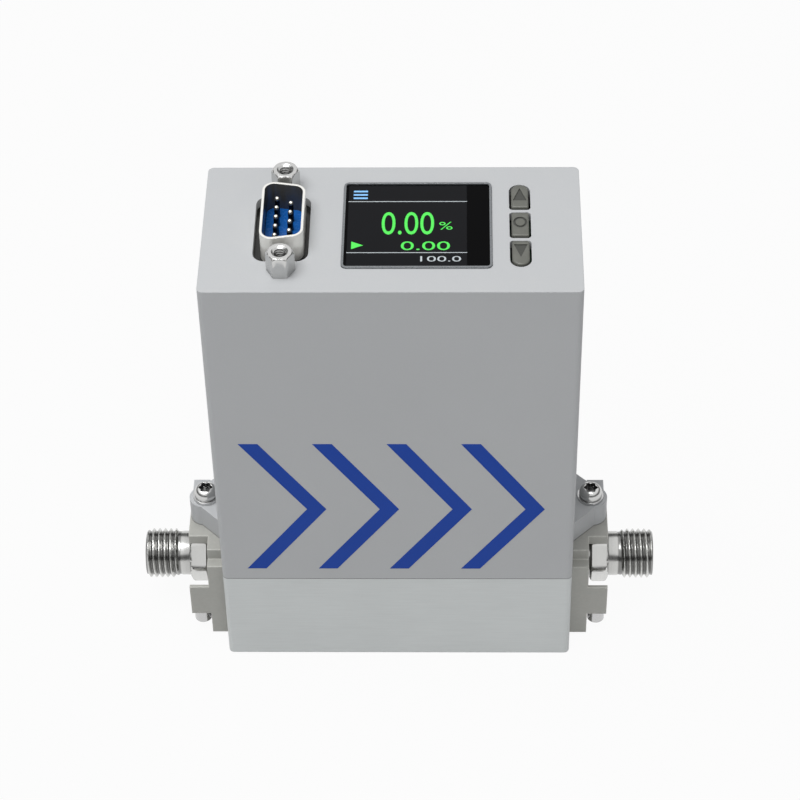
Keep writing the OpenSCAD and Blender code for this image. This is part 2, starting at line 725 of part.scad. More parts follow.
module valve_plunger() {
    color("silver") at_valve() difference() {
        translate([0, 0, plunger_z0]) cylinder(d = plunger_d, h = plunger_l);
        translate([0, 0, plunger_z1 - spring_depth]) cylinder(d = spring_bore, h = spring_depth + eps);
        for (a = [0, 90, 180, 270]) rotate(a)
            translate([plunger_d / 2, 0, plunger_z0 - eps]) cylinder(d = 1.2, h = plunger_l + 2 * eps);
    }
}

// A coil spring: eight-sided wire swept along a helix
module valve_spring() {
    sides = 8;
    steps = 12 * spring_turns;
    z0 = plunger_z1 - spring_depth + spring_wire / 2 + 0.05;
    z1 = stop_z - spring_wire / 2 - 0.05;
    ring = [for (i = [0 : steps]) for (j = [0 : sides - 1])
        let (a = 360 * spring_turns * i / steps, b = 360 * j / sides,
            r = spring_d / 2 + spring_wire / 2 * cos(b))
        [r * cos(a), r * sin(a), z0 + (z1 - z0) * i / steps + spring_wire / 2 * sin(b)]];
    wall = [for (i = [0 : steps - 1]) for (j = [0 : sides - 1])
        [i * sides + j, i * sides + (j + 1) % sides,
            (i + 1) * sides + (j + 1) % sides, (i + 1) * sides + j]];
    caps = [[for (j = [0 : sides - 1]) sides - 1 - j], [for (j = [0 : sides - 1]) steps * sides + j]];
    color("silver") at_valve() polyhedron(ring, concat(wall, caps));
}

module valve_coil() {
    color("firebrick") at_valve() translate([0, 0, coil_z0]) difference() {
        cylinder(d = coil_d, h = coil_h);
        translate([0, 0, -eps]) cylinder(d = guide_d + 0.2, h = coil_h + 2 * eps);
    }
}

module valve_yoke() {
    reach = coil_d / 2 + 0.1;
    color("slategray") at_valve() difference() {
        translate([-coil_d / 2, -coil_d / 2, coil_z0 - yoke_t])
            cube([coil_d / 2 + reach + yoke_t, coil_d, coil_h + 2 * yoke_t]);
        translate([-coil_d / 2 - eps, -coil_d / 2 - eps, coil_z0])
            cube([coil_d / 2 + reach + eps, coil_d + 2 * eps, coil_h]);
        translate([0, 0, coil_z0 - yoke_t - eps]) cylinder(d = guide_d + 0.1, h = coil_h + 2 * yoke_t + 1);
    }
}

module valve_nut() {
    color("silver") at_valve() translate([0, 0, coil_z1 + yoke_t]) difference() {
        hex_prism(nut_af, nut_h);
        translate([0, 0, -eps]) cylinder(d = guide_d + 0.1, h = nut_h + 2 * eps);
    }
}

module valve_screws() {
    color("silver") at_valve() for (x = [-1, 1], y = [-1, 1])
        translate([x * valve_screw_o, y * valve_screw_o, deck_z + valve_flange_t - valve_head_h])
            cap_screw(valve_screw_d, valve_flange_t - valve_head_h + valve_screw_l,
                valve_head_d, valve_head_h - 0.1, valve_socket_af);
}

module main_board() {
    color("green") difference() {
        translate([-main_w / 2, main_y - board_t, main_z0]) cube([main_w, board_t, main_z1 - main_z0]);
        at_main_posts() translate([0, 0, -board_t - eps])
            cylinder(d = post_bore_d + 2 * screw_play, h = board_t + 2 * eps);
    }
}

module main_board_screws() {
    color("silver") at_main_posts() translate([0, 0, -board_t]) rotate([180, 0, 0])
        cap_screw(post_bore_d - 0.1, board_t + main_screw_grip, small_head_d, small_head_h, 1.3);
}

module board_header() {
    color("black") translate([-header_size[0] / 2, main_y - board_t - header_size[1], main_z1 - header_drop])
        cube(header_size);
}

module display_board() {
    color("green") difference() {
        translate([0, 0, board_z1 - board_t]) rounded_block(board_w, board_d, board_t, 1);
        at_posts() translate([0, 0, board_z1 - board_t - eps])
            cylinder(d = post_bore_d + 2 * screw_play, h = board_t + 2 * eps);
        at_plug() for (p = PINS) translate([p[0], p[1], board_z1 - board_t - eps])
            cylinder(d = pin_d + 0.2, h = board_t + 2 * eps, $fn = 24);
    }
}

module display_board_screws() {
    color("silver") at_posts() translate([0, 0, board_z1 - board_t]) rotate([180, 0, 0])
        cap_screw(post_bore_d - 0.1, small_screw_l, small_head_d, small_head_h, 1.3);
}

module display_panel() {
    color("black") translate([panel_x, window_y, panel_z1 - panel_t])
        rounded_block(panel_w, panel_d, panel_t, 0.5);
}

module display_holder() {
    rest = 1;                           // ledge under the panel
    color("white") translate([panel_x, window_y, 0]) difference() {
        translate([0, 0, board_z1])
            rounded_block(panel_w + 2 * holder_wall, panel_d + 2 * holder_wall, panel_z1 - board_z1, 1);
        translate([0, 0, board_z1 - eps])
            rounded_block(panel_w - 2 * rest, panel_d - 2 * rest, panel_z1 - board_z1 + 1, 0.5);
        translate([0, 0, panel_z1 - panel_t]) rounded_block(panel_w + 0.1, panel_d + 0.1, panel_t + eps, 0.5);
    }
}

module display_bezel() {
    color("gray") translate([window_x, window_y, window_z0]) difference() {
        rounded_block(rim_w - 0.1, rim_d - 0.1, window_t + bezel_rise, glass_r + bezel_w);
        translate([0, 0, -eps]) rounded_block(window_w + 0.06, window_d + 0.06, window_t + bezel_rise + 1, glass_r);
    }
}

module window() {
    color("black") translate([window_x, window_y, window_z0])
        rounded_block(window_w, window_d, window_t, glass_r);
}

// A key's outline grown by g: end is 1 for a round back end, -1 for a round front end, 0 for neither
module key_outline(end, g) {
    w = key_w + 2 * g;
    l = key_l + 2 * g;
    round_l = abs(end) * w / 2;
    translate([0, -end * w / 4]) rounded(w, l - round_l, key_corner + g);
    if (end != 0) translate([0, end * (l / 2 - w / 2)]) {
        circle(d = w);
        translate([0, -end * key_corner]) square([w, 2 * key_corner], center = true);
    }
}

module key(end) {
    skirt_z = ceiling_z - key_skirt_gap - key_skirt_t;
    at_key(end) {
        translate([0, 0, skirt_z]) linear_extrude(key_top_z - skirt_z) key_outline(end, 0);
        translate([0, 0, skirt_z]) rounded_block(key_w + 2 * key_skirt, key_l - key_w, key_skirt_t, 0.4);
        translate([0, 0, key_stem_z]) cylinder(d = key_stem_d, h = skirt_z - key_stem_z + eps);
    }
}

module key_up() { color("dimgray") key(1); }
module key_set() { color("dimgray") key(0); }
module key_down() { color("dimgray") key(-1); }

module key_switches() {
    color("black") for (i = [-1 : 1]) at_key(i) translate([0, 0, board_z1]) {
        translate([-switch_size[0] / 2, -switch_size[1] / 2, 0]) cube(switch_size);
        translate([0, 0, switch_size[2] - eps]) cylinder(d = switch_stem_d, h = switch_stem_h + eps);
    }
}

module connector_shell() {
    boss_h = 3;
    color("silver") difference() {
        union() {
            at_plug() translate([0, 0, shell_z0]) {
                linear_extrude(shell_z1 - shell_z0) d_outline(0);
                rounded_block(flange_w, flange_l, flange_t, 1.5);
            }
            at_jacks() translate([0, 0, shell_z0 - boss_h]) cylinder(d = 4.6, h = boss_h + eps);
        }
        at_plug() translate([0, 0, shell_z0 - eps])
            linear_extrude(shell_z1 - shell_z0 + 1) d_outline(-shell_t);
        at_jacks() translate([0, 0, shell_z0 - boss_h - eps])
            cylinder(d = jack_shank_d + 0.1, h = boss_h + flange_t + 1);
    }
}

module connector_insert() {
    color("royalblue") at_plug() difference() {
        union() {
            translate([0, 0, shell_z0 - eps])
                linear_extrude(insert_z1 - shell_z0 + eps) d_outline(-shell_t - insert_gap);
            translate([0, 0, board_z1]) rounded_block(insert_back_w, insert_back_l, shell_z0 - board_z1, 0.5);
        }
        for (p = PINS) translate([p[0], p[1], board_z1 - eps])
            cylinder(d = pin_d + 0.04, h = shell_z1, $fn = 24);
    }
}

module connector_pins() {
    color("gold") at_plug() for (p = PINS) translate([p[0], p[1], board_z1 - board_t - tail_l]) {
        cylinder(d = pin_d, h = pin_z1 - pin_d / 2 - (board_z1 - board_t - tail_l), $fn = 24);
        translate([0, 0, pin_z1 - pin_d / 2 - (board_z1 - board_t - tail_l)]) sphere(d = pin_d, $fn = 24);
    }
}

module jack_screws() {
    color("silver") at_jacks() translate([0, 0, body_h]) difference() {
        union() {
            hex_prism(jack_af, jack_h);
            translate([0, 0, -jack_shank_l]) cylinder(d = jack_shank_d, h = jack_shank_l + eps);
        }
        translate([0, 0, 0.5]) cylinder(d = jack_bore_d, h = jack_h);
    }
}

base_block();
inlet_block();
outlet_block();
inlet_fitting();
outlet_fitting();
fitting_seals();
block_screws();
lug_screws();
flow_screen();
flow_element();
cover();
cover_screws();
cover_washers();
sensor_body();
sensor_chip();
sensor_seals();
sensor_screws();
valve_seal();
valve_seat();
valve_body();
valve_plunger();
valve_spring();
valve_coil();
valve_yoke();
valve_nut();
valve_screws();
main_board();
main_board_screws();
board_header();
display_board();
display_board_screws();
display_panel();
display_holder();
display_bezel();
window();
key_up();
key_set();
key_down();
key_switches();
connector_shell();
connector_insert();
connector_pins();
jack_screws();
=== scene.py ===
"""Dresses the solids of a mass flow controller: finishes, threads, screws, keys, printed marks, display and stage."""

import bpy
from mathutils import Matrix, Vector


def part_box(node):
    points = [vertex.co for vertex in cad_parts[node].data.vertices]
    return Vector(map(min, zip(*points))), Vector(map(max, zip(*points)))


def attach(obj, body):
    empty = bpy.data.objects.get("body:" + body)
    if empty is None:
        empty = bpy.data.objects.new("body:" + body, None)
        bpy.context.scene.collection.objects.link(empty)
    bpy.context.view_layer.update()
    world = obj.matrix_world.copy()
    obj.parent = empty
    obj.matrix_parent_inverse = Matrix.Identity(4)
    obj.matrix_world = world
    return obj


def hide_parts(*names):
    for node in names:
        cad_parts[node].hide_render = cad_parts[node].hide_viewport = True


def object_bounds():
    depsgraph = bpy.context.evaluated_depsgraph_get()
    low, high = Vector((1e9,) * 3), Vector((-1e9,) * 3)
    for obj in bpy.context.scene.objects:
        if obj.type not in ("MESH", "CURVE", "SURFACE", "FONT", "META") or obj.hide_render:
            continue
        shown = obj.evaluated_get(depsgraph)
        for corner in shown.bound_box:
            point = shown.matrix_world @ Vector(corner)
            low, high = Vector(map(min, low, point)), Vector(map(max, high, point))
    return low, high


bl_info = {
    "name": "Flow controller",
    "version": (1, 0, 0),
    "blender": (4, 5, 0),
    "location": "View3D > Sidebar > Flow controller",
    "description": "Finishes, threads, screws, keys and display marks for a mass flow controller",
    "category": "Object",
}

import math

import bmesh
import bpy
from mathutils import Matrix, Vector

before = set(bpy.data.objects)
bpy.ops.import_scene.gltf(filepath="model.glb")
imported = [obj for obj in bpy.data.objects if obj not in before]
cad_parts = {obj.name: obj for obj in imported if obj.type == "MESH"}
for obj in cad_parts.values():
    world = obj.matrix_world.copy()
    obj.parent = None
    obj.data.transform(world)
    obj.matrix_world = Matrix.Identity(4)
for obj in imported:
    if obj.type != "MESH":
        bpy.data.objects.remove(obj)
CAD_BOX = [[float(v) for v in corner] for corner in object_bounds()]

MM = 0.001
BODY = "controller"
SHARP_ANGLE = math.radians(34)


def linear(red, green, blue):
    """A colour given from 0 to 255 as scene linear values."""
    return tuple(((c / 255 + 0.055) / 1.055) ** 2.4 if c > 10 else c / 255 / 12.92 for c in (red, green, blue))


def shade_of(color, factor):
    """The colour made lighter or darker, with an alpha of 1."""
    return tuple(min(1.0, c * factor) for c in color[:3]) + (1.0,)


# ---- shader tools


class Nodes:
    """Adds and links the nodes of one tree."""

    def __init__(self, tree):
        self.tree = tree

    def add(self, kind, values=None, **settings):
        node = self.tree.nodes.new(kind)
        for name, value in settings.items():
            setattr(node, name, value)
        for name, value in (values or {}).items():
            if isinstance(value, bpy.types.NodeSocket):
                self.tree.links.new(value, node.inputs[name])
            else:
                node.inputs[name].default_value = value
        return node

    def sum(self, operation, first, second=0.0, clamp=False):
        node = self.add("ShaderNodeMath", {0: first, 1: second}, operation=operation, use_clamp=clamp)
        return node.outputs[0]

    def mix(self, factor, first, second):
        node = self.add("ShaderNodeMix", {0: factor, 6: first, 7: second}, data_type="RGBA")
        return node.outputs[2]

    def between(self, value, low, high, from_low=0.0, from_high=1.0):
        values = {"Value": value, "From Min": from_low, "From Max": from_high, "To Min": low, "To Max": high}
        return self.add("ShaderNodeMapRange", values).outputs[0]


def emptied(owner):
    """The tools for a material's or world's own nodes, once they are cleared."""
    owner.use_nodes = True
    owner.node_tree.nodes.clear()
    return Nodes(owner.node_tree)


def new_group(name, inputs, outputs):
    """An empty shader group with float, vector or colour sockets."""
    tree = bpy.data.node_groups.new(name, "ShaderNodeTree")
    for socket, kind, default in inputs:
        tree.interface.new_socket(name=socket, in_out="INPUT", socket_type=kind).default_value = default
    for socket, kind in outputs:
        tree.interface.new_socket(name=socket, in_out="OUTPUT", socket_type=kind)
    return tree, Nodes(tree), tree.nodes.new("NodeGroupInput"), tree.nodes.new("NodeGroupOutput")


def edge_group():
    """Rounded edges: a mask along them, which the finishes use for a painted highlight, and the normal that rounds
    them.
    """
    name = "worn_edge"
    if name in bpy.data.node_groups:
        return bpy.data.node_groups[name]
    tree, n, start, end = new_group(
        name,
        [("Radius", "NodeSocketFloat", 0.0002), ("Contrast", "NodeSocketFloat", 4.0)],
        [("Mask", "NodeSocketFloat"), ("Normal", "NodeSocketVector")],
    )
    bevel = n.add("ShaderNodeBevel", {"Radius": start.outputs["Radius"]}, samples=4)
    face = n.add("ShaderNodeNewGeometry")
    dot = n.add("ShaderNodeVectorMath", {0: bevel.outputs[0], 1: face.outputs["Normal"]}, operation="DOT_PRODUCT")
    away = n.sum("SUBTRACT", 1.0, dot.outputs["Value"])
    tree.links.new(n.sum("MULTIPLY", away, start.outputs["Contrast"], clamp=True), end.inputs["Mask"])
    tree.links.new(bevel.outputs[0], end.inputs["Normal"])
    return tree


def grain_group():
    """Fine grain and slow clouding over the surface, either of which may be stretched into brush lines."""
    name = "surface_grain"
    if name in bpy.data.node_groups:
        return bpy.data.node_groups[name]
    tree, n, start, end = new_group(
        name,
        [
            ("Scale", "NodeSocketFloat", 1500.0),
            ("Cloud Scale", "NodeSocketFloat", 60.0),
            ("Stretch", "NodeSocketVector", (1.0, 1.0, 1.0)),
        ],
        [("Fine", "NodeSocketFloat"), ("Cloud", "NodeSocketFloat")],
    )
    place = n.add("ShaderNodeTexCoord").outputs["Object"]
    stretched = n.add("ShaderNodeVectorMath", {0: place, 1: start.outputs["Stretch"]}, operation="MULTIPLY")
    fine = n.add("ShaderNodeTexNoise", {"Vector": stretched.outputs[0], "Scale": start.outputs["Scale"], "Detail": 4.0})
    cloud = n.add("ShaderNodeTexNoise", {"Vector": place, "Scale": start.outputs["Cloud Scale"], "Detail": 3.0})
    tree.links.new(fine.outputs[0], end.inputs["Fine"])
    tree.links.new(cloud.outputs[0], end.inputs["Cloud"])
    return tree


def dust_group():
    """Thin dust that settles on what faces up."""
    name = "settled_dust"
    if name in bpy.data.node_groups:
        return bpy.data.node_groups[name]
    tree, n, start, end = new_group(name, [("Amount", "NodeSocketFloat", 0.1)], [("Mask", "NodeSocketFloat")])
    face = n.add("ShaderNodeNewGeometry")
    up = n.add("ShaderNodeSeparateXYZ", {0: face.outputs["Normal"]}).outputs["Z"]
    place = n.add("ShaderNodeTexCoord").outputs["Object"]
    specks = n.add("ShaderNodeTexNoise", {"Vector": place, "Scale": 400.0, "Detail": 6.0})
    lying = n.sum("MULTIPLY", n.sum("MAXIMUM", up, 0.0), n.between(specks.outputs[0], 0.0, 1.0, 0.45, 0.75))
    tree.links.new(n.sum("MULTIPLY", lying, start.outputs["Amount"], clamp=True), end.inputs["Mask"])
    return tree


DUST = (0.55, 0.54, 0.52, 1.0)
COAT_ROUGHNESS = 0.08
SMOOTHEST = 0.02  # least roughness of any finish
BLEND_SPAN, GRAIN_SPAN = (0.3, 0.7), (0.25, 0.75)  # the span of the noises that is stretched to the full change
LEVEL_BLUR = 0.06  # height in millimetres over which the tone below a level sets in
INWARD_SPAN = (-0.001, -0.0005)  # span of distance times cosine over which a face counts as turned inwards


def below_level(n, level):
    """A mask that is 1 below a height in millimetres."""
    place = n.add("ShaderNodeTexCoord").outputs["Object"]
    height = n.add("ShaderNodeSeparateXYZ", {0: place}).outputs["Z"]
    return n.between(height, 1.0, 0.0, (level - LEVEL_BLUR) * MM, level * MM)


def turned_inwards(n, x, y):
    """A mask that is 1 on faces turned to the upright axis at x and y, in millimetres."""
    place = n.add("ShaderNodeTexCoord").outputs["Object"]
    flat = n.add("ShaderNodeVectorMath", {0: place, 1: (1.0, 1.0, 0.0)}, operation="MULTIPLY")
    axis = n.add("ShaderNodeCombineXYZ", {"X": x * MM, "Y": y * MM})
    away = n.add("ShaderNodeVectorMath", {0: flat.outputs[0], 1: axis.outputs[0]}, operation="SUBTRACT")
    face = n.add("ShaderNodeNewGeometry").outputs["Normal"]
    turned = n.add("ShaderNodeVectorMath", {0: away.outputs[0], 1: face}, operation="DOT_PRODUCT")
    return n.between(turned.outputs["Value"], 1.0, 0.0, *INWARD_SPAN)


def finish(name, color, rough, metallic=0.0, grain=1800.0, cloud=70.0, stretch=(1.0, 1.0, 1.0), depth=0.01,
           tone=0.05, spread=0.06, edge=0.25, edge_tone=1.3, edge_radius=0.2, coat=0.0, dust=0.0, glow=None,
           painted_shade=None, low=None, hollow_shade=None, gloss=0.5):
    """One finish: a grained and clouded colour with edges lightened as a painted highlight, a fine bump and perhaps
    dust.

    depth and edge_radius are in millimetres, and tones multiply the colour. painted_shade is the tone where the mesh's
    painted shade is 0. low is a height and the tone of the painted shade below it. hollow_shade is an upright axis and
    the tone of the painted shade on the faces turned to it.
    """
    name += "_finish"
    if name in bpy.data.materials:
        return bpy.data.materials[name]
    material = bpy.data.materials.new(name)
    n = emptied(material)
    link = n.tree.links.new
    shader = n.add("ShaderNodeBsdfPrincipled", {"Coat Weight": coat, "Coat Roughness": COAT_ROUGHNESS,
                                                "Specular IOR Level": gloss})
    output = n.add("ShaderNodeOutputMaterial", {"Surface": shader.outputs[0]})
    output.is_active_output = True
    texture = n.add("ShaderNodeGroup", node_tree=grain_group())
    texture.inputs["Scale"].default_value = grain
    texture.inputs["Cloud Scale"].default_value = cloud
    texture.inputs["Stretch"].default_value = stretch
    edge_rounding_and_highlight = n.add("ShaderNodeGroup", node_tree=edge_group())
    edge_rounding_and_highlight.inputs["Radius"].default_value = edge_radius * MM
    blend = n.sum("MULTIPLY", n.sum("ADD", texture.outputs["Fine"], texture.outputs["Cloud"]), 0.5)
    paint = n.mix(n.between(blend, 0.0, 1.0, *BLEND_SPAN), shade_of(color, 1 - tone), shade_of(color, 1 + tone))
    # painted shade from the mesh's point attribute: the colour goes to this tone where that shade is 0
    if painted_shade is not None:
        height = n.add("ShaderNodeAttribute", attribute_name="painted_shade").outputs["Fac"]
        paint = n.mix(height, shade_of(color, painted_shade), paint)
    # edges lightened as a painted highlight
    paint = n.mix(n.sum("MULTIPLY", edge_rounding_and_highlight.outputs["Mask"], edge), paint, shade_of(color, edge_tone))
    # painted shade below a height
    if low is not None:
        level, low_shade_tone = low
        paint = n.mix(below_level(n, level), paint, shade_of(color, low_shade_tone))
    # painted shade on the faces turned to an upright axis
    if hollow_shade is not None:
        x, y, inner_shade_tone = hollow_shade
        paint = n.mix(turned_inwards(n, x, y), paint, shade_of(color, inner_shade_tone))
    if dust:
        film = n.add("ShaderNodeGroup", node_tree=dust_group())
        film.inputs["Amount"].default_value = dust
        paint = n.mix(film.outputs["Mask"], paint, DUST)
    link(paint, shader.inputs["Base Color"])
    roughness = n.between(texture.outputs["Fine"], max(SMOOTHEST, rough - spread), rough + spread, *GRAIN_SPAN)
    link(roughness, shader.inputs["Roughness"])
    shader.inputs["Metallic"].default_value = metallic
    bump = n.add("ShaderNodeBump", {"Height": texture.outputs["Fine"], "Normal": edge_rounding_and_highlight.outputs["Normal"],
                                    "Distance": depth * MM, "Strength": 1.0})
    link(bump.outputs[0], shader.inputs["Normal"])
    if glow:
        shader.inputs["Emission Color"].default_value = shade_of(color, 1.0)
        shader.inputs["Emission Strength"].default_value = glow
    return material


# ---- mesh tools


def lathe(stations, count, axis="z"):
    """A closed turned shape. A station is its height, its radius, which may be a function of the angle, and a painted
    shade.
    """
    points, faces, shades, rings = [], [], [], []
    for height, radius, shade in stations:
        turns = [None] if radius == 0 else [2 * math.pi * k / count for k in range(count)]
        rings.append(range(len(points), len(points) + len(turns)))
        for angle in turns:
            reach = 0.0 if angle is None else radius(angle) if callable(radius) else radius
            across, along = (0.0, 0.0) if angle is None else (reach * math.cos(angle), reach * math.sin(angle))
            points.append((across, along, height) if axis == "z" else (height, across, along))
            shades.append(shade(angle or 0.0) if callable(shade) else shade)
    for low, high in zip(rings, rings[1:]):
        for k in range(count):
            after = (k + 1) % count
            if len(low) == 1:
                faces.append((low[0], high[k], high[after]))
            elif len(high) == 1:
                faces.append((low[k], low[after], high[0]))
            else:
                faces.append((low[k], low[after], high[after], high[k]))
    return points, faces, shades


def loft(loops):
    """A closed shape through loops of equally many points, capped at both ends."""
    count = len(loops[0])
    points = [p for loop in loops for p in loop]
    faces = [tuple(range(count))[::-1], tuple(range(len(points) - count, len(points)))]
    for ring in range(len(loops) - 1):
        for k in range(count):
            after = (k + 1) % count
            base = ring * count
            faces.append((base + k, base + after, base + count + after, base + count + k))
    return points, faces


def slab(outline, low, high, plane="xy"):
    """A prism on an outline, between two heights along the third axis."""
    if plane == "xy":
        return loft([[(a, b, h) for a, b in outline] for h in (low, high)])
    return loft([[(a, h, b) for a, b in outline] for h in (low, high)])


def rectangle(x0, x1, y0, y1):
    """The outline of a rectangle."""
    return [(x0, y0), (x1, y0), (x1, y1), (x0, y1)]


def joined(shapes):
    """Several shapes as one."""
    points, faces = [], []
    for more_points, more_faces in shapes:
        base = len(points)
        points += more_points
        faces += [tuple(base + i for i in face) for face in more_faces]
    return points, faces


def moved(shape, x, y):
    """The shape moved along x and y."""
    return [(a + x, b + y, c) for a, b, c in shape[0]], shape[1]


def hexagon(across, corner, limit=99.0):
    """Radius of a hexagon of that size across its flats, with its first corner at that angle."""
    def radius(angle):
        turn = (angle - corner) % (math.pi / 3) - math.pi / 6
        return min(across / 2 / math.cos(turn), limit)
    return radius


def set_smooth(mesh):
    """Smooth faces with sharp creases, outward normals and merged doubles."""
    work = bmesh.new()
    work.from_mesh(mesh)
    bmesh.ops.remove_doubles(work, verts=work.verts, dist=1e-7)
    bmesh.ops.recalc_face_normals(work, faces=work.faces)
    for face in work.faces:
        face.smooth = True
    for edge in work.edges:
        edge.smooth = len(edge.link_faces) == 2 and edge.calc_face_angle(math.pi) < SHARP_ANGLE
    work.to_mesh(mesh)
    work.free()


def in_scene(name, data):
    """A new object in the scene."""
    item = bpy.data.objects.new(name, data)
    bpy.context.scene.collection.objects.link(item)
    return item


def new_object(name, points, faces, materials, shades=None):
    """An object at the origin whose mesh holds its place. Points are in millimetres."""
    mesh = bpy.data.meshes.new(name)
    mesh.from_pydata([(x * MM, y * MM, z * MM) for x, y, z in points], [], faces)
    for material in materials:
        mesh.materials.append(material)
    # the shades are painted shade, kept as a point attribute for the finishes
    if shades:
        layer = mesh.attributes.new("painted_shade", "FLOAT", "POINT")
        layer.data.foreach_set("value", shades)
    mesh.update()
    set_smooth(mesh)
    return in_scene(name, mesh)


def applied(piece, name):
    """A plain mesh object made from the piece with its modifiers; the piece itself goes."""
    view = bpy.context.evaluated_depsgraph_get()
    mesh = bpy.data.meshes.new_from_object(piece.evaluated_get(view), preserve_all_data_layers=True, depsgraph=view)
    piece.modifiers.clear()
    bpy.data.objects.remove(piece)
    mesh.name = name
    if not mesh.polygons:
        raise RuntimeError(f"{name} came out empty")
    return in_scene(name, mesh)


ROWS = ("", "Second ")  # how the inputs of the first and the second row begin


def rows_tree():
    """Geometry nodes that stand copies of a piece in one or two straight rows."""
    name = "copies_in_rows"
    if name in bpy.data.node_groups:
        return bpy.data.node_groups[name]
    tree = bpy.data.node_groups.new(name, "GeometryNodeTree")
    tree.interface.new_socket(name="Geometry", in_out="INPUT", socket_type="NodeSocketGeometry")
    sockets = [("Piece", "Object"), ("Material", "Material")]
    sockets += [(row + socket, kind) for row in ROWS for socket, kind in
                (("Count", "Int"), ("Start", "Vector"), ("Step", "Vector"))]
    for socket, kind in sockets:
        tree.interface.new_socket(name=socket, in_out="INPUT", socket_type="NodeSocket" + kind)
    tree.interface.new_socket(name="Geometry", in_out="OUTPUT", socket_type="NodeSocketGeometry")
    n = Nodes(tree)
    start = tree.nodes.new("NodeGroupInput").outputs
    points = tree.nodes.new("GeometryNodeJoinGeometry")
    for row in ROWS:
        line = n.add("GeometryNodeMeshLine", {
            "Count": start[row + "Count"], "Start Location": start[row + "Start"], "Offset": start[row + "Step"],
        }, mode="OFFSET")
        tree.links.new(line.outputs[0], points.inputs[0])
    piece = n.add("GeometryNodeObjectInfo", {"Object": start["Piece"]}, transform_space="ORIGINAL")
    copies = n.add("GeometryNodeInstanceOnPoints", {"Points": points.outputs[0], "Instance": piece.outputs["Geometry"]})
    real = n.add("GeometryNodeRealizeInstances", {0: copies.outputs[0]})
    coated = n.add("GeometryNodeSetMaterial", {"Geometry": real.outputs[0], "Material": start["Material"]})
    tree.links.new(coated.outputs[0], tree.nodes.new("NodeGroupOutput").inputs[0])
    return tree


def in_rows(source, name, material, count, start, step, second=(0, (0, 0, 0), (0, 0, 0))):
    """Copies of the source, in millimetres, as one plain mesh."""
    tree = rows_tree()
    holder = in_scene(name + "_rows", bpy.data.meshes.new(name + "_rows"))
    modifier = holder.modifiers.new("rows", "NODES")
    modifier.node_group = tree
    inputs = {s.name: s.identifier for s in tree.interface.items_tree if s.in_out == "INPUT"}
    values = {"Piece": source, "Material": material}
    for row, (number, place, offset) in zip(ROWS, ((count, start, step), second)):
        values.update({row + "Count": number, row + "Start": [v * MM for v in place],
                       row + "Step": [v * MM for v in offset]})
    for socket, value in values.items():
        modifier[inputs[socket]] = value
    holder.update_tag()
    bpy.context.view_layer.update()
    result = applied(holder, name)
    bpy.data.objects.remove(source)
    return result


def hand_over(piece, body=BODY, nodes=()):
    """Tells the frame what the piece rides on and which solids it stands for."""
    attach(piece, body)
    if nodes:
        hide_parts(*nodes)


# ---- settings

LENGTH = {"unit": "LENGTH", "subtype": "DISTANCE", "precision": 5}


def length(name, description, millimetres):
    return bpy.props.FloatProperty(name=name, description=description, default=millimetres * MM, min=0.0, **LENGTH)


def tint(name, description, color):
    return bpy.props.FloatVectorProperty(name=name, description=description, default=color, size=3, min=0.0, max=1.0,
                                         subtype="COLOR")


class FinishSettings(bpy.types.PropertyGroup):
    cover: tint("Cover", "Colour of the cover's paint", linear(183, 185, 187))
    base: tint("Base block", "Colour of the base block's metal", linear(206, 210, 210))
    block: tint("End blocks", "Colour of the cast end blocks", linear(168, 168, 163))
    steel: tint("Fittings", "Colour of the turned steel", linear(214, 214, 212))
    insert: tint("Connector insert", "Colour of the connector's insert", linear(26, 96, 176))
    keys: tint("Keys", "Colour of the keys", linear(95, 96, 90))
    round_edge: length("Edge radius", "Radius of the softened edges", 0.25)


class FittingSettings(bpy.types.PropertyGroup):
    pitch: length("Thread pitch", "Distance from one crest of the thread to the next", 1.27)
    major: length("Thread diameter", "Diameter over the thread's crests", 11.1)
    depth: length("Thread depth", "Depth of the thread", 0.72)
    thread: length("Thread length", "Length of the threaded end", 7.6)
    collar: length("Collar diameter", "Diameter of the plain collar", 9.9)
    hexagon: length("Hexagon", "Size across the hexagon's flats", 11.1)
    bore: length("Tube bore", "Diameter of the tube socket", 6.4)


class ScrewSettings(bpy.types.PropertyGroup):
    head: length("Ear screw head", "Diameter of the ear screws' heads", 5.0)
    height: length("Ear screw head height", "Height of the ear screws' heads", 2.2)
    recess: length("Recess", "Mean diameter of the six-lobed recess", 2.6)
    jack: length("Jack screw", "Size across a jack screw's flats", 5.0)
    jack_bore: length("Jack screw bore", "Diameter of a jack screw's threaded bore", 2.4)
    jack_pitch: length("Jack thread pitch", "Pitch of the thread in a jack screw", 0.635)


class PinSettings(bpy.types.PropertyGroup):
    diameter: length("Pin diameter", "Diameter of a contact pin", 1.0)
    pitch: length("Pin pitch", "Distance between pins in a row", 2.77)
    rows: length("Row distance", "Distance between the two rows", 2.84)


class KeySettings(bpy.types.PropertyGroup):
    width: length("Key width", "Width of a key", 4.0)
    reach: length("Key length", "Length of a key, front to back", 7.5)
    pitch: length("Key pitch", "Distance between the keys", 8.6)
    bevel: length("Key bevel", "Width of the bevel round a key's top", 0.35)
    sign_depth: length("Sign depth", "Depth of the engraved signs", 0.22)


class PrintSettings(bpy.types.PropertyGroup):
    count: bpy.props.IntProperty(name="Chevrons", description="Number of chevrons", default=4, min=1, max=6)
    pitch: length("Chevron pitch", "Distance from one chevron to the next", 15.4)
    width: length("Chevron width", "Width of a chevron's band along its row", 4.1)
    ink: tint("Ink", "Colour of the printed chevrons", linear(22, 66, 160))


class DisplaySettings(bpy.types.PropertyGroup):
    reading: tint("Reading", "Colour of the large figures", linear(70, 205, 75))
    line: tint("Lines", "Colour of the dividing lines", linear(175, 182, 186))
    bars: tint("Menu bars", "Colour of the menu sign", linear(120, 175, 225))


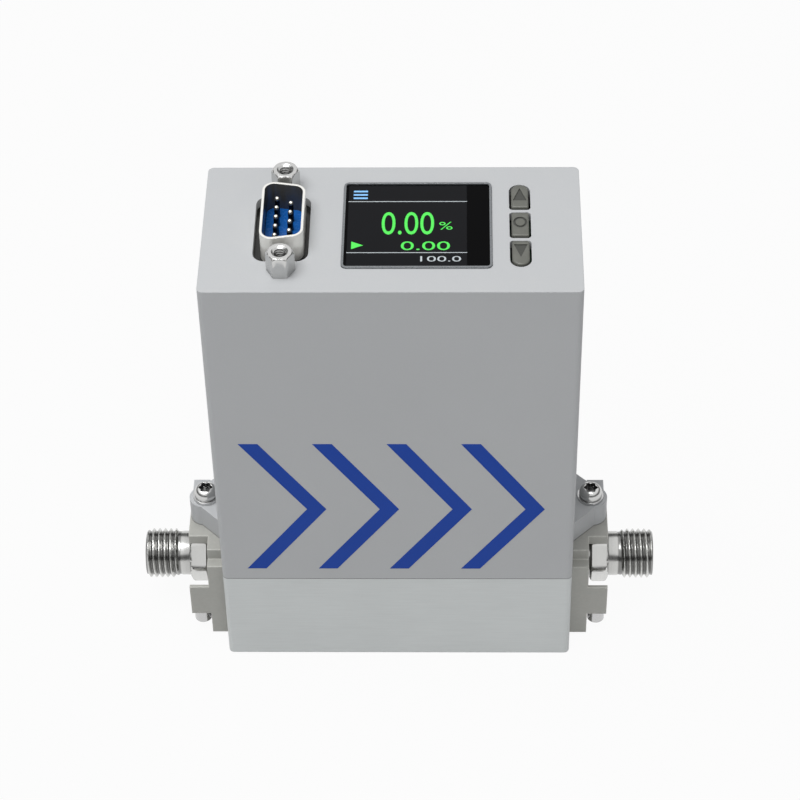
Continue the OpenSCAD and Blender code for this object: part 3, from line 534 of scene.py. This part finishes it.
class StageSettings(bpy.types.PropertyGroup):
    sky: bpy.props.FloatProperty(name="Sky", description="Strength of the even light", default=0.32, min=0.0)
    lamp: bpy.props.FloatProperty(name="Lamp", description="Power of the large lamp", default=17.0, min=0.0)
    fill: bpy.props.FloatProperty(name="Fill", description="Power of the fill lamp", default=3.4, min=0.0)


class ControllerSettings(bpy.types.PropertyGroup):
    finishes: bpy.props.PointerProperty(type=FinishSettings, name="Finishes", description="Colours and edges")
    fittings: bpy.props.PointerProperty(type=FittingSettings, name="Fittings", description="Tube fittings")
    screws: bpy.props.PointerProperty(type=ScrewSettings, name="Screws", description="Visible screws")
    pins: bpy.props.PointerProperty(type=PinSettings, name="Pins", description="Connector pins")
    keys: bpy.props.PointerProperty(type=KeySettings, name="Keys", description="Push keys")
    prints: bpy.props.PointerProperty(type=PrintSettings, name="Prints", description="Printed marks")
    display: bpy.props.PointerProperty(type=DisplaySettings, name="Display", description="Display marks")
    stage: bpy.props.PointerProperty(type=StageSettings, name="Stage", description="Light and floor")


# ---- finishes

SEAM_SHADE_HEIGHT = 24.9  # height below which the cover's foot is darkened as painted shade in the seam
SHELL_SHADE_HEIGHT = 107.3  # height below which the connector's shell lies in its cut-out and is darkened as painted shade
PLUG_X = -21.7  # the connector's upright axis


def material_of(name):
    """The finish of that name, made when it is first asked for."""
    s = bpy.context.scene.flow_controller.finishes
    edge = s.round_edge / MM
    recipes = {
        # the cover's foot is darkened below the seam height as painted shade
        "cover_paint": dict(
            color=s.cover, rough=0.42, gloss=0.3, grain=3200.0, cloud=35.0, depth=0.006, tone=0.025, edge=0.55,
            edge_tone=1.35, edge_radius=edge, coat=0.05, dust=0.08, low=(SEAM_SHADE_HEIGHT, 0.3),
        ),
        "base_metal": dict(
            color=s.base, rough=0.4, metallic=0.08, grain=2600.0, cloud=50.0, depth=0.008, stretch=(0.06, 1.0, 1.0),
            edge=0.5, edge_radius=edge,
        ),
        "block_metal": dict(
            color=s.block, rough=0.46, metallic=0.1, grain=1500.0, cloud=120.0, depth=0.02, tone=0.07, edge=1.0,
            edge_tone=1.8, edge_radius=0.5, dust=0.05,
        ),
        "fitting_steel": dict(
            color=s.steel, rough=0.2, metallic=1.0, grain=3500.0, stretch=(1.0, 0.03, 0.03), depth=0.006, tone=0.08,
            edge=0.5, edge_tone=1.2, edge_radius=0.1, painted_shade=0.3,
        ),
        "screw_steel": dict(
            color=linear(196, 196, 196), rough=0.24, metallic=1.0, grain=2600.0, depth=0.004, tone=0.06, edge=0.6,
            edge_radius=0.12,
        ),
        "recessed_steel": dict(
            color=linear(206, 206, 205), rough=0.22, metallic=1.0, grain=2600.0, depth=0.004, tone=0.06, edge=0.5,
            edge_tone=1.2, edge_radius=0.1, painted_shade=0.16,
        ),
        "seal_rubber": dict(color=linear(32, 32, 33), rough=0.6, grain=2200.0, tone=0.1, edge=0.2),
        "dark_plastic": dict(
            color=linear(28, 28, 30), rough=0.42, grain=2400.0, depth=0.012, tone=0.1, edge=0.4, edge_tone=2.0,
        ),
        "board_green": dict(
            color=linear(24, 92, 52), rough=0.34, grain=900.0, cloud=240.0, depth=0.02, tone=0.16, coat=0.3,
        ),
        "brass": dict(
            color=linear(206, 170, 92), rough=0.26, metallic=1.0, grain=2400.0, depth=0.006, tone=0.07, edge=0.5,
        ),
        "coil_tape": dict(
            color=linear(196, 138, 42), rough=0.34, grain=1400.0, stretch=(0.05, 0.05, 1.0), depth=0.03, tone=0.12,
            coat=0.3,
        ),
        "yoke_plate": dict(
            color=linear(188, 186, 176), rough=0.34, metallic=0.9, grain=900.0, depth=0.008, tone=0.09, edge=0.5,
        ),
        "panel_glass": dict(color=linear(10, 11, 14), rough=0.1, grain=600.0, depth=0.001, gloss=0.25),
        "window_glass": dict(
            color=linear(5, 5, 6), rough=0.07, gloss=0.03, grain=500.0, depth=0.0006, tone=0.08, spread=0.03, edge=0.5,
            edge_tone=3.0, edge_radius=0.15,
        ),
        "bezel_metal": dict(
            color=linear(128, 131, 134), rough=0.3, metallic=0.6, grain=2800.0, depth=0.004, edge=0.8, edge_tone=1.6,
            edge_radius=0.12,
        ),
        "key_plastic": dict(
            color=s.keys, rough=0.4, grain=2600.0, edge=0.6, edge_tone=1.5, edge_radius=0.15, dust=0.06,
        ),
        "key_sign": dict(color=linear(62, 63, 59), rough=0.5, grain=2600.0, depth=0.006, tone=0.06, edge=0.1),
        # painted shade: nearly black below the flange height, where the shell lies in its cut-out, and dark on the
        # walls turned to the plug's axis
        "shell_plate": dict(
            color=linear(236, 235, 230), rough=0.2, metallic=0.35, grain=1200.0, depth=0.003, tone=0.04, edge=0.8,
            edge_tone=1.5, edge_radius=0.15, low=(SHELL_SHADE_HEIGHT, 0.02), hollow_shade=(PLUG_X, 0.0, 0.12),
        ),
        "insert_blue": dict(
            color=s.insert, rough=0.26, gloss=0.3, depth=0.004, tone=0.08, edge=0.5, edge_tone=1.8, edge_radius=0.15,
            coat=0.1,
        ),
        "pin_gold": dict(
            color=linear(240, 238, 230), rough=0.16, metallic=0.9, painted_shade=0.03, grain=1600.0, depth=0.003, edge=0.3,
            edge_radius=0.06,
        ),
    }
    return finish(name, **recipes[name])


NODE_FINISHES = {
    "base_metal": ["base_block", "sensor_body"],
    "block_metal": ["inlet_block", "outlet_block"],
    "fitting_steel": ["inlet_fitting", "outlet_fitting"],
    "screw_steel": ["block_screws", "lug_screws", "flow_screen", "flow_element", "cover_screws", "cover_washers",
                    "sensor_screws", "valve_seat", "valve_body", "valve_plunger", "valve_spring", "valve_screws",
                    "main_board_screws", "display_board_screws", "jack_screws"],
    "seal_rubber": ["fitting_seals", "sensor_seals", "valve_seal"],
    "cover_paint": ["cover"],
    "dark_plastic": ["board_header", "display_holder", "key_switches"],
    "board_green": ["sensor_chip", "main_board", "display_board"],
    "brass": ["valve_nut"],
    "coil_tape": ["valve_coil"],
    "yoke_plate": ["valve_yoke"],
    "panel_glass": ["display_panel"],
    "window_glass": ["window"],
    "bezel_metal": ["display_bezel"],
    "key_plastic": ["key_up", "key_set", "key_down"],
    "shell_plate": ["connector_shell"],
    "insert_blue": ["connector_insert"],
    "pin_gold": ["connector_pins"],
}


class SolidsOperator(bpy.types.Operator):
    """Give every solid of the frame its finish"""

    bl_idname = "flow_controller.solids"
    bl_label = "Finish the solids"

    def execute(self, context):
        left = set(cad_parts)
        for name, nodes in NODE_FINISHES.items():
            for node in nodes:
                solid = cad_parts[node]
                if not solid.material_slots:
                    solid.data.materials.append(None)
                for slot in solid.material_slots:
                    slot.material = material_of(name)
                left.discard(node)
        if left:
            raise RuntimeError(f"no finish for {sorted(left)}")
        return {"FINISHED"}


# ---- fittings

HALF_WIDTH = 38.0
PORT_HEIGHT = 12.1
FITTING_REACH = 18.8
HEX_START, HEX_END = 4.8, 8.8
SPIGOT_END = -6.0
SPIGOT_RADIUS = 4.5
HEX_TURN = math.radians(11)  # how far each hexagon stands turned from upright
THREAD_FLAT = 0.1  # share of the thread's rise that is flat at its root, and at its crest
RUN_OUT_START, RUN_OUT = 0.25, 0.9  # where the thread begins behind its start, and the length in which it rises
LEAD_IN, LEAD_CREST = 0.75, 0.15  # length of the taper at the open end, and the thread's height that is left there
GROOVE_SHADE, SHADE_CURVE = 0.05, 1.1  # the painted shade at the thread's root, and the power with which it rises
THREAD_STEPS = 18  # stations along one pitch of the thread
TURN_STEPS = 144


class FittingsOperator(bpy.types.Operator):
    """Turn the two threaded tube fittings with their hexagons and sockets"""

    bl_idname = "flow_controller.fittings"
    bl_label = "Tube fittings"

    def profile(self, s, corner):
        """The stations of a fitting whose hexagon has its first corner at that angle."""
        pitch, major, depth = s.pitch / MM, s.major / 2 / MM, s.depth / MM
        thread_start = FITTING_REACH - s.thread / MM
        flats = s.hexagon / MM
        collar, bore = s.collar / 2 / MM, s.bore / 2 / MM

        def crest_at(x, angle):
            turn = ((x - thread_start) / pitch - angle / (2 * math.pi)) % 1.0
            rise = 1 - abs(2 * turn - 1)
            rise = min(max((rise - THREAD_FLAT) / (1 - 2 * THREAD_FLAT), 0.0), 1.0)
            run_out = min(max((x - thread_start - RUN_OUT_START) / RUN_OUT, 0.0), 1.0)
            lead_in = min(max((FITTING_REACH - x) / LEAD_IN, 0.0), 1.0)
            return rise * run_out * (LEAD_CREST + (1 - LEAD_CREST) * lead_in)

        # The third value of each station is painted shade: light on the hexagon, darker at the collar's corner, in the
        # thread's roots and deep in the bore.
        stations = [
            (SPIGOT_END, 0, 0.5), (SPIGOT_END, SPIGOT_RADIUS - 0.3, 0.5), (SPIGOT_END + 0.3, SPIGOT_RADIUS, 0.6),
            (HEX_START - 0.01, SPIGOT_RADIUS, 0.4),
            (HEX_START, hexagon(flats - 0.9, corner, flats / 2), 0.8),
            (HEX_START + 0.35, hexagon(flats, corner, flats / 2 + 0.55), 0.9),
            (HEX_START + 0.6, hexagon(flats, corner), 0.95),
            (HEX_END - 0.6, hexagon(flats, corner), 0.95),
            (HEX_END - 0.3, hexagon(flats, corner, flats / 2 + 0.5), 0.9),
            (HEX_END, hexagon(flats, corner, flats / 2 - 0.1), 0.85),
            (HEX_END + 0.02, collar + 0.12, 0.3), (HEX_END + 0.2, collar, 0.6),
            (thread_start - 0.35, collar, 0.8), (thread_start - 0.1, major - depth, 0.25),
        ]
        steps = round(s.thread / MM / pitch * THREAD_STEPS)
        for k in range(steps + 1):
            x = thread_start + k * (s.thread / MM) / steps
            stations.append((x, lambda a, x=x: major - depth + depth * crest_at(x, a),
                             lambda a, x=x: GROOVE_SHADE + (1 - GROOVE_SHADE) * crest_at(x, a) ** SHADE_CURVE))
        stations += [
            (FITTING_REACH, bore + 0.85, 0.95), (FITTING_REACH, bore + 0.35, 0.9),
            (FITTING_REACH - 0.35, bore, 0.5), (FITTING_REACH - 4, bore, 0.15),
            (FITTING_REACH - 8, bore, 0.05), (FITTING_REACH - 8, 2.0, 0.05),
            (FITTING_REACH - 13, 2.0, 0.0), (FITTING_REACH - 13, 0, 0.0),
        ]
        return stations

    def execute(self, context):
        s = context.scene.flow_controller.fittings
        low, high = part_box("inlet_fitting")
        upright = 0.0 if (high.y - low.y) > (high.z - low.z) else math.pi / 6
        for name, side in (("inlet_fitting", -1), ("outlet_fitting", 1)):
            points, faces, shades = lathe(self.profile(s, upright - side * HEX_TURN), TURN_STEPS, "x")
            placed = [(side * (HALF_WIDTH + x), side * y, PORT_HEIGHT + z) for x, y, z in points]
            piece = new_object(name + "_turned", placed, faces, [material_of("fitting_steel")], shades)
            hand_over(piece, nodes=[name])
        return {"FINISHED"}


# ---- screws

EAR_SCREW_X = 42.4
EAR_SCREW_SEAT = 31.4
EAR_SHANK = 1.5
LOBE_DEPTH = 0.17  # how far the recess's six lobes swing about its mean radius
JACK_GROOVE = 0.28  # depth of the thread in a jack screw
JACK_THREAD_START = 0.35  # depth at which that thread begins
JACK_THREAD_STEPS = 60
SCREW_TURN_STEPS = 72
EAR_SCREW_LENGTH = 11.7
JACK_Y = 12.5
JACK_SEAT, JACK_TOP, JACK_FLOOR, JACK_SHANK_END = 109.0, 114.0, 109.6, 103.0
JACK_SHANK = 1.4


class EarScrewsOperator(bpy.types.Operator):
    """Make the two ear screws with domed heads and six-lobed recesses"""

    bl_idname = "flow_controller.ear_screws"
    bl_label = "Ear screws"

    def execute(self, context):
        s = context.scene.flow_controller.screws
        r, h, mean = s.head / 2 / MM, s.height / MM, s.recess / 2 / MM

        def lobes(size):
            return lambda angle: size + LOBE_DEPTH * math.cos(6 * angle)

        # The third values are painted shade, dark deep in the six-lobed recess.
        stations = [
            (-EAR_SCREW_LENGTH, 0, 0.5), (-EAR_SCREW_LENGTH, EAR_SHANK, 0.5), (-0.01, EAR_SHANK, 0.5),
            (0, r - 0.1, 0.5), (0.12, r, 0.8), (0.4 * h, r, 0.95), (0.6 * h, r - 0.1, 1.0), (0.78 * h, r - 0.32, 1.0),
            (0.92 * h, r - 0.62, 1.0), (h, r - 0.95, 1.0), (h, lobes(mean + 0.1), 1.0), (h - 0.12, lobes(mean), 0.4),
            (0.45 * h, lobes(mean - 0.04), 0.05), (0.42 * h, 0, 0.0),
        ]
        points, faces, shades = lathe(stations, SCREW_TURN_STEPS)
        steel = material_of("recessed_steel")
        source = new_object("ear_screw_source", points, faces, [steel], shades)
        piece = in_rows(source, "ear_screws_lobed", steel, 2, (-EAR_SCREW_X, 0, EAR_SCREW_SEAT),
                        (2 * EAR_SCREW_X, 0, 0))
        hand_over(piece, nodes=["cover_screws"])
        return {"FINISHED"}


class JackScrewsOperator(bpy.types.Operator):
    """Make the two hexagonal jack screws with threaded bores"""

    bl_idname = "flow_controller.jack_screws"
    bl_label = "Jack screws"

    def execute(self, context):
        s = context.scene.flow_controller.screws
        flats, bore, pitch = s.jack / MM, s.jack_bore / 2 / MM, s.jack_pitch / MM

        def groove(z, angle):
            return abs(2 * ((z / pitch - angle / (2 * math.pi)) % 1.0) - 1)

        stations = [
            (JACK_SHANK_END, 0, 0.5), (JACK_SHANK_END, JACK_SHANK, 0.5), (JACK_SEAT - 0.01, JACK_SHANK, 0.5),
            (JACK_SEAT, hexagon(flats - 0.1, 0.0), 0.6), (JACK_SEAT + 0.1, hexagon(flats, 0.0), 0.9),
            (JACK_TOP - 0.45, hexagon(flats, 0.0), 1.0), (JACK_TOP - 0.2, hexagon(flats, 0.0, flats / 2 + 0.12), 1.0),
            (JACK_TOP, hexagon(flats, 0.0, flats / 2 - 0.12), 1.0), (JACK_TOP, bore + 0.5, 1.0),
            (JACK_TOP - 0.3, bore + 0.15, 0.8),
        ]
        # The shades are painted shade, darker deeper in the bore and in the thread's grooves.
        thread_top = JACK_TOP - JACK_THREAD_START
        for k in range(JACK_THREAD_STEPS + 1):
            z = thread_top - k * (thread_top - JACK_FLOOR) / JACK_THREAD_STEPS
            light = 1 - k / JACK_THREAD_STEPS
            stations.append((z, lambda a, z=z: bore + JACK_GROOVE * groove(z, a) - 0.08,
                             lambda a, z=z, light=light: light * (1 - groove(z, a))))
        stations.append((JACK_FLOOR, 0, 0.0))
        points, faces, shades = lathe(stations, SCREW_TURN_STEPS)
        steel = material_of("recessed_steel")
        source = new_object("jack_screw_source", points, faces, [steel], shades)
        piece = in_rows(source, "jack_screws_threaded", steel, 2, (PLUG_X, -JACK_Y, 0), (0, 2 * JACK_Y, 0))
        hand_over(piece, nodes=["jack_screws"])
        return {"FINISHED"}


# ---- pins

DOME_STEPS = 6  # rings in the round tip of a pin
PIN_TURN_STEPS = 24


class PinsOperator(bpy.types.Operator):
    """Stand the nine round-tipped contact pins in their two rows"""

    bl_idname = "flow_controller.pins"
    bl_label = "Connector pins"

    def execute(self, context):
        s = context.scene.flow_controller.pins
        low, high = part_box("connector_pins")
        r, foot, tip = s.diameter / 2 / MM, low.z / MM, high.z / MM
        # The shafts get a painted shade of 0, and the round tips 1.
        stations = [(foot, 0, 0.0), (foot, r * 0.8, 0.0), (foot + 0.2, r, 0.0), (tip - 1.6 * r, r, 0.0),
                    (tip - r, r, 1.0)]
        for k in range(1, DOME_STEPS):
            angle = math.pi / 2 * k / DOME_STEPS
            stations.append((tip - r + r * math.sin(angle), r * math.cos(angle), 1.0))
        stations.append((tip, 0, 1.0))
        points, faces, shades = lathe(stations, PIN_TURN_STEPS)
        gold = material_of("pin_gold")
        source = new_object("pin_source", points, faces, [gold], shades)
        pitch, apart = s.pitch / MM, s.rows / MM / 2
        piece = in_rows(source, "contact_pins", gold, 5, (PLUG_X - apart, -2 * pitch, 0), (0, pitch, 0),
                        (4, (PLUG_X + apart, -1.5 * pitch, 0), (0, pitch, 0)))
        hand_over(piece, nodes=["connector_pins"])
        return {"FINISHED"}


# ---- keys

KEY_X, KEY_Y = 25.75, 0.9
KEY_CORNER = 0.6
KEY_PLAY = 0.24  # how much smaller a cap is than its solid, on each side
BEVEL_CURVE = ((1.0, 0.0), (0.62, 0.08), (0.28, 0.34), (0.06, 0.68), (0.0, 1.0))  # drop and inset, as bevel widths
RING_INNER, RING_LENGTH = 0.68, 1.6  # the ring sign's inner size, as a share of the outer, and its half length
SIGN_HALF_W, SIGN_HALF_H, SIGN_SHIFT = 1.38, 1.9, 0.5
ARC_STEPS = 8


def key_outline(width, reach, end, inset):
    """A key's outline, its round end towards the back for 1 and towards the front for -1."""
    half_w, half_l = width / 2 - inset, reach / 2 - inset
    points = []
    for x, y, start in ((1, -1, -90), (1, 1, 0), (-1, 1, 90), (-1, -1, 180)):
        radius = width / 2 - inset - 0.01 if end == y else max(KEY_CORNER - inset, 0.05)
        for k in range(ARC_STEPS + 1):
            angle = math.radians(start + 90 * k / ARC_STEPS)
            points.append((x * (half_w - radius) + radius * math.cos(angle),
                           y * (half_l - radius) + radius * math.sin(angle)))
    return points


def ring_shape(outer, inner, low, high, count=40):
    """A flat ring with a square section, standing on z = low."""
    loops = [(outer, low), (outer, high), (inner, high), (inner, low)]
    points = [(r * math.cos(2 * math.pi * k / count), r * math.sin(2 * math.pi * k / count), z)
              for r, z in loops for k in range(count)]
    faces = []
    for ring in range(4):
        for k in range(count):
            after, base, above = (k + 1) % count, ring * count, (ring + 1) % 4 * count
            faces.append((base + k, base + after, above + after, above + k))
    return points, faces


class KeysOperator(bpy.types.Operator):
    """Mould the three keys and engrave their plain signs"""

    bl_idname = "flow_controller.keys"
    bl_label = "Keys"

    def execute(self, context):
        s = context.scene.flow_controller.keys
        width, reach, bevel = s.width / MM, s.reach / MM, s.bevel / MM
        plastic, sign = material_of("key_plastic"), material_of("key_sign")
        for node, place in (("key_up", 1), ("key_set", 0), ("key_down", -1)):
            low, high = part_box(node)
            foot, top = low.z / MM, high.z / MM
            y = KEY_Y + place * s.pitch / MM
            profile = [(foot, 0.0)] + [(top - drop * bevel, inset * bevel) for drop, inset in BEVEL_CURVE]
            loops = [[(a + KEY_X, b + y, z) for a, b in key_outline(width, reach, place, inset + KEY_PLAY)]
                     for z, inset in profile]
            key = new_object(node + "_blank", *loft(loops), [plastic, sign])
            depth = s.sign_depth / MM
            if place:
                arrow = [(0, SIGN_HALF_H * place), (-SIGN_HALF_W, -SIGN_HALF_H * place),
                         (SIGN_HALF_W, -SIGN_HALF_H * place)]
                shape = slab(arrow, top - depth, top + 0.5)
            else:
                ring, faces = ring_shape(1.0, RING_INNER, top - depth, top + 0.5)
                shape = [(a * SIGN_HALF_W, b * RING_LENGTH, c) for a, b, c in ring], faces
            cutter = new_object(node + "_sign", *moved(shape, KEY_X, y + SIGN_SHIFT), [plastic, sign])
            for face in cutter.data.polygons:
                face.material_index = 1
            cut = key.modifiers.new("sign", "BOOLEAN")
            cut.operation, cut.solver, cut.object = "DIFFERENCE", "EXACT", cutter
            piece = applied(key, node + "_cap")
            bpy.data.objects.remove(cutter)
            set_smooth(piece.data)
            hand_over(piece, node, [node])
        return {"FINISHED"}


# ---- printed marks and display

FRONT = -19.0
INK_THICKNESS = 0.03
INK_SUNK = 0.05
GLASS_TOP = 109.0
CHEVRON_X, CHEVRON_Z = (-32.3, -18.7), (66.6, 46.9, 28.1)  # first chevron: left and tip, then top, tip and bottom

# On the display, each box is left, right, front and back.
LIT = (-8.9, 15.1, -11.6, 13.3)
LINES = ((8.1, 8.3), (-7.45, -7.25))  # front and back of the two dividing lines
SCALE_BOX, READING_BOX = (5.8, 13.9, -10.0, -8.4), (-2.05, 8.5, -1.9, 4.95)
UNIT_BOX, TARGET_BOX = (9.5, 12.2, -0.45, 1.9), (1.9, 11.7, -6.6, -4.0)
MENU_X, MENU_Y, MENU_BAR = (-7.9, -5.0), (9.0, 10.05, 11.1), 0.5
POINTER = [(-8.0, -6.3), (-5.6, -5.15), (-8.0, -4.0)]


class ChevronsOperator(bpy.types.Operator):
    """Print the row of chevrons on the cover's front"""

    bl_idname = "flow_controller.chevrons"
    bl_label = "Chevrons"

    def execute(self, context):
        s = context.scene.flow_controller.prints
        ink = finish("chevron_ink", s.ink, 0.5, grain=2600.0, cloud=90.0, depth=0.003, tone=0.06, edge=0.1, gloss=0.2)
        (left, tip), (top, middle, bottom), w = CHEVRON_X, CHEVRON_Z, s.width / MM
        outline = [(left, top), (left + w, top), (tip + w, middle), (left + w, bottom), (left, bottom), (tip, middle)]
        band = slab(outline[::-1], FRONT - INK_THICKNESS, FRONT + INK_SUNK, "xz")
        source = new_object("chevron_source", *band, [ink])
        piece = in_rows(source, "chevrons", ink, s.count, (0, 0, 0), (s.pitch / MM, 0, 0))
        hand_over(piece)
        return {"FINISHED"}


def figures(word, x0, x1, y0, y1, low, high):
    """Figures fitted into a box, as points and faces in millimetres."""
    curve = bpy.data.curves.new("figures", "FONT")
    curve.body, curve.extrude, curve.resolution_u = word, 0.05, 5
    holder = in_scene("figures", curve)
    bpy.context.view_layer.update()
    view = bpy.context.evaluated_depsgraph_get()
    mesh = bpy.data.meshes.new_from_object(holder.evaluated_get(view), depsgraph=view)
    bpy.data.objects.remove(holder)
    corners = [[f(v.co[i] for v in mesh.vertices) for i in range(3)] for f in (min, max)]
    scale = [(b - a) / max(1e-9, corners[1][i] - corners[0][i])
             for i, (a, b) in enumerate(((x0, x1), (y0, y1), (low, high)))]
    points = [tuple(start + (v.co[i] - corners[0][i]) * scale[i] for i, start in enumerate((x0, y0, low)))
              for v in mesh.vertices]
    faces = [tuple(p.vertices) for p in mesh.polygons]
    bpy.data.meshes.remove(mesh)
    return points, faces


class DisplayOperator(bpy.types.Operator):
    """Light the display's lines, menu sign and figures"""

    bl_idname = "flow_controller.display"
    bl_label = "Display marks"

    def execute(self, context):
        s = context.scene.flow_controller.display
        screen = finish("screen_dark", linear(11, 12, 16), 0.1, grain=400.0, depth=0.0005, tone=0.1, edge=0.0,
                        gloss=0.1)
        green = finish("screen_green", s.reading, 0.3, grain=3000.0, depth=0.001, tone=0.06, edge=0.0, glow=0.35)
        grey = finish("screen_line", s.line, 0.3, grain=2000.0, depth=0.001, tone=0.05, edge=0.0, glow=0.2)
        blue = finish("screen_blue", s.bars, 0.3, grain=2000.0, depth=0.001, tone=0.05, edge=0.0, glow=0.3)
        face, marks, top = GLASS_TOP - 0.05, GLASS_TOP + 0.015, GLASS_TOP + 0.04
        x0, x1, y0, y1 = LIT

        def bar(a, b, c, d):
            return slab(rectangle(a, b, c, d), face, top)

        pieces = {
            "display_screen": (screen, [slab(rectangle(x0, x1, y0, y1), face, marks)]),
            "display_lines": (grey, [bar(x0, x1, *line) for line in LINES]
                              + [figures("100.0", *SCALE_BOX, face, top)]),
            "display_menu_sign": (blue, [bar(*MENU_X, y, y + MENU_BAR) for y in MENU_Y]),
            "display_figures": (green, [
                figures("0.00", *READING_BOX, face, top), figures("%", *UNIT_BOX, face, top),
                figures("0.00", *TARGET_BOX, face, top), slab(POINTER, face, top),
            ]),
        }
        for name, (material, shapes) in pieces.items():
            hand_over(new_object(name, *joined(shapes), [material]))
        return {"FINISHED"}


# ---- stage

CAMERA_PLACE = (0.013592, -0.409204, 0.46584)
CAMERA_RIGHT = (0.99975733, 0.01551938, -0.01563419)
CAMERA_UP = (0.000188153, 0.70366634, 0.71053054)
CAMERA_FORWARD = (-0.02202825, 0.71036106, -0.70349266)
CAMERA_LENS = 121.7286
FLOOR_HALF = 2.0
FLOOR_DROP = 0.0003
FLOOR_TONE, FLOOR_WHITE = 0.42, 0.95  # the floor's colour, and how far it turns white where it is seen
# Each lamp: its place, its size and whether metal mirrors it.
LARGE_LAMP = ((-0.3, -0.16, 1.35), 1.0, True)
FILL_LAMP = ((0.25, -1.3, 0.45), 0.8, False)
LAMP_AIM = (0, 0, 0.06)
BAND_FOOT, BAND_HEAD = (0.0, 0.08), (0.42, 0.54)  # sines of the heights between which metal sees darker walls
BAND_LEVEL = 0.14


class StageOperator(bpy.types.Operator):
    """Set the floor, the soft light and the camera"""

    bl_idname = "flow_controller.stage"
    bl_label = "Stage"

    def seen(self, n):
        """1 for a ray from the camera or one that metal or glass sends on."""
        path = n.add("ShaderNodeLightPath").outputs
        either = n.sum("MAXIMUM", path["Is Camera Ray"], path["Is Glossy Ray"])
        return n.sum("MAXIMUM", either, path["Is Transmission Ray"])

    def execute(self, context):
        s = context.scene.flow_controller.stage
        scene = context.scene
        world = bpy.data.worlds.new("studio")
        scene.world = world
        n = emptied(world)
        rise = n.add("ShaderNodeSeparateXYZ", {0: n.add("ShaderNodeTexCoord").outputs["Generated"]}).outputs["Z"]
        above = n.between(rise, 0.0, 1.0, *BAND_FOOT)
        under = n.between(rise, 1.0, 0.0, *BAND_HEAD)
        mirrored = n.add("ShaderNodeLightPath").outputs["Is Glossy Ray"]
        band = n.sum("MULTIPLY", n.sum("MULTIPLY", above, under), mirrored)
        level = n.sum("MULTIPLY", n.between(self.seen(n), s.sky, 1.0), n.between(band, 1.0, BAND_LEVEL))
        light = n.add("ShaderNodeBackground", {"Color": (1, 1, 1, 1), "Strength": level})
        n.add("ShaderNodeOutputWorld", {"Surface": light.outputs[0]})

        paper = bpy.data.materials.new("pale_floor")
        n = emptied(paper)
        matt = n.add("ShaderNodeBsdfDiffuse", {"Color": (FLOOR_TONE, FLOOR_TONE, FLOOR_TONE, 1)})
        white = n.add("ShaderNodeEmission", {"Color": (1, 1, 1, 1), "Strength": 1.0})
        part = n.sum("MULTIPLY", self.seen(n), FLOOR_WHITE)
        both = n.add("ShaderNodeMixShader", {0: part, 1: matt.outputs[0], 2: white.outputs[0]})
        n.add("ShaderNodeOutputMaterial", {"Surface": both.outputs[0]})
        z = CAD_BOX[0][2] - FLOOR_DROP
        mesh = bpy.data.meshes.new("floor")
        mesh.from_pydata([(a * FLOOR_HALF, b * FLOOR_HALF, z) for a, b in ((-1, -1), (1, -1), (1, 1), (-1, 1))], [],
                         [(0, 1, 2, 3)])
        mesh.materials.append(paper)
        floor = in_scene("floor", mesh)

        for name, (place, size, mirrored), power in (
            ("large_lamp", LARGE_LAMP, s.lamp), ("fill_lamp", FILL_LAMP, s.fill),
        ):
            lamp = bpy.data.lights.new(name, "AREA")
            lamp.shape, lamp.size, lamp.energy = "SQUARE", size, power
            holder = in_scene(name, lamp)
            holder.location = place
            holder.rotation_euler = (Vector(LAMP_AIM) - Vector(place)).to_track_quat("-Z", "Y").to_euler()
            holder.visible_glossy = mirrored

        data = bpy.data.cameras.new("view")
        data.sensor_width, data.lens, data.clip_start, data.clip_end = 36.0, CAMERA_LENS, 0.01, 50.0
        camera = in_scene("view", data)
        columns = [CAMERA_RIGHT, CAMERA_UP, [-v for v in CAMERA_FORWARD], CAMERA_PLACE]
        rows = [[column[i] for column in columns] for i in range(3)] + [[0, 0, 0, 1]]
        camera.matrix_world = Matrix(rows)
        scene.camera = camera
        scene.view_settings.view_transform = "Standard"
        return {"FINISHED"}


# ---- panel and registration

STEPS = (SolidsOperator, FittingsOperator, EarScrewsOperator, JackScrewsOperator, PinsOperator, KeysOperator,
         ChevronsOperator, DisplayOperator, StageOperator)


class ControllerPanel(bpy.types.Panel):
    """The controller's steps and settings"""

    bl_idname = "VIEW3D_PT_flow_controller"
    bl_label = "Flow controller"
    bl_space_type = "VIEW_3D"
    bl_region_type = "UI"
    bl_category = "Flow controller"

    def draw(self, context):
        settings = context.scene.flow_controller
        for step in STEPS:
            self.layout.operator(step.bl_idname)
        for part in ("finishes", "fittings", "screws", "pins", "keys", "prints", "display", "stage"):
            box = self.layout.box()
            group = getattr(settings, part)
            for name in group.__annotations__:
                box.prop(group, name)


CLASSES = (FinishSettings, FittingSettings, ScrewSettings, PinSettings, KeySettings, PrintSettings, DisplaySettings,
           StageSettings, ControllerSettings, *STEPS, ControllerPanel)


def register():
    for item in CLASSES:
        bpy.utils.register_class(item)
    bpy.types.Scene.flow_controller = bpy.props.PointerProperty(type=ControllerSettings)


def unregister():
    del bpy.types.Scene.flow_controller
    for item in reversed(CLASSES):
        bpy.utils.unregister_class(item)


def main():
    register()
    for step in STEPS:
        group, name = step.bl_idname.split(".")
        result = getattr(getattr(bpy.ops, group), name)()
        if result != {"FINISHED"}:
            raise RuntimeError(f"{step.bl_idname} gave {result}")
    bpy.context.view_layer.update()


if __name__ == "__main__":
    main()
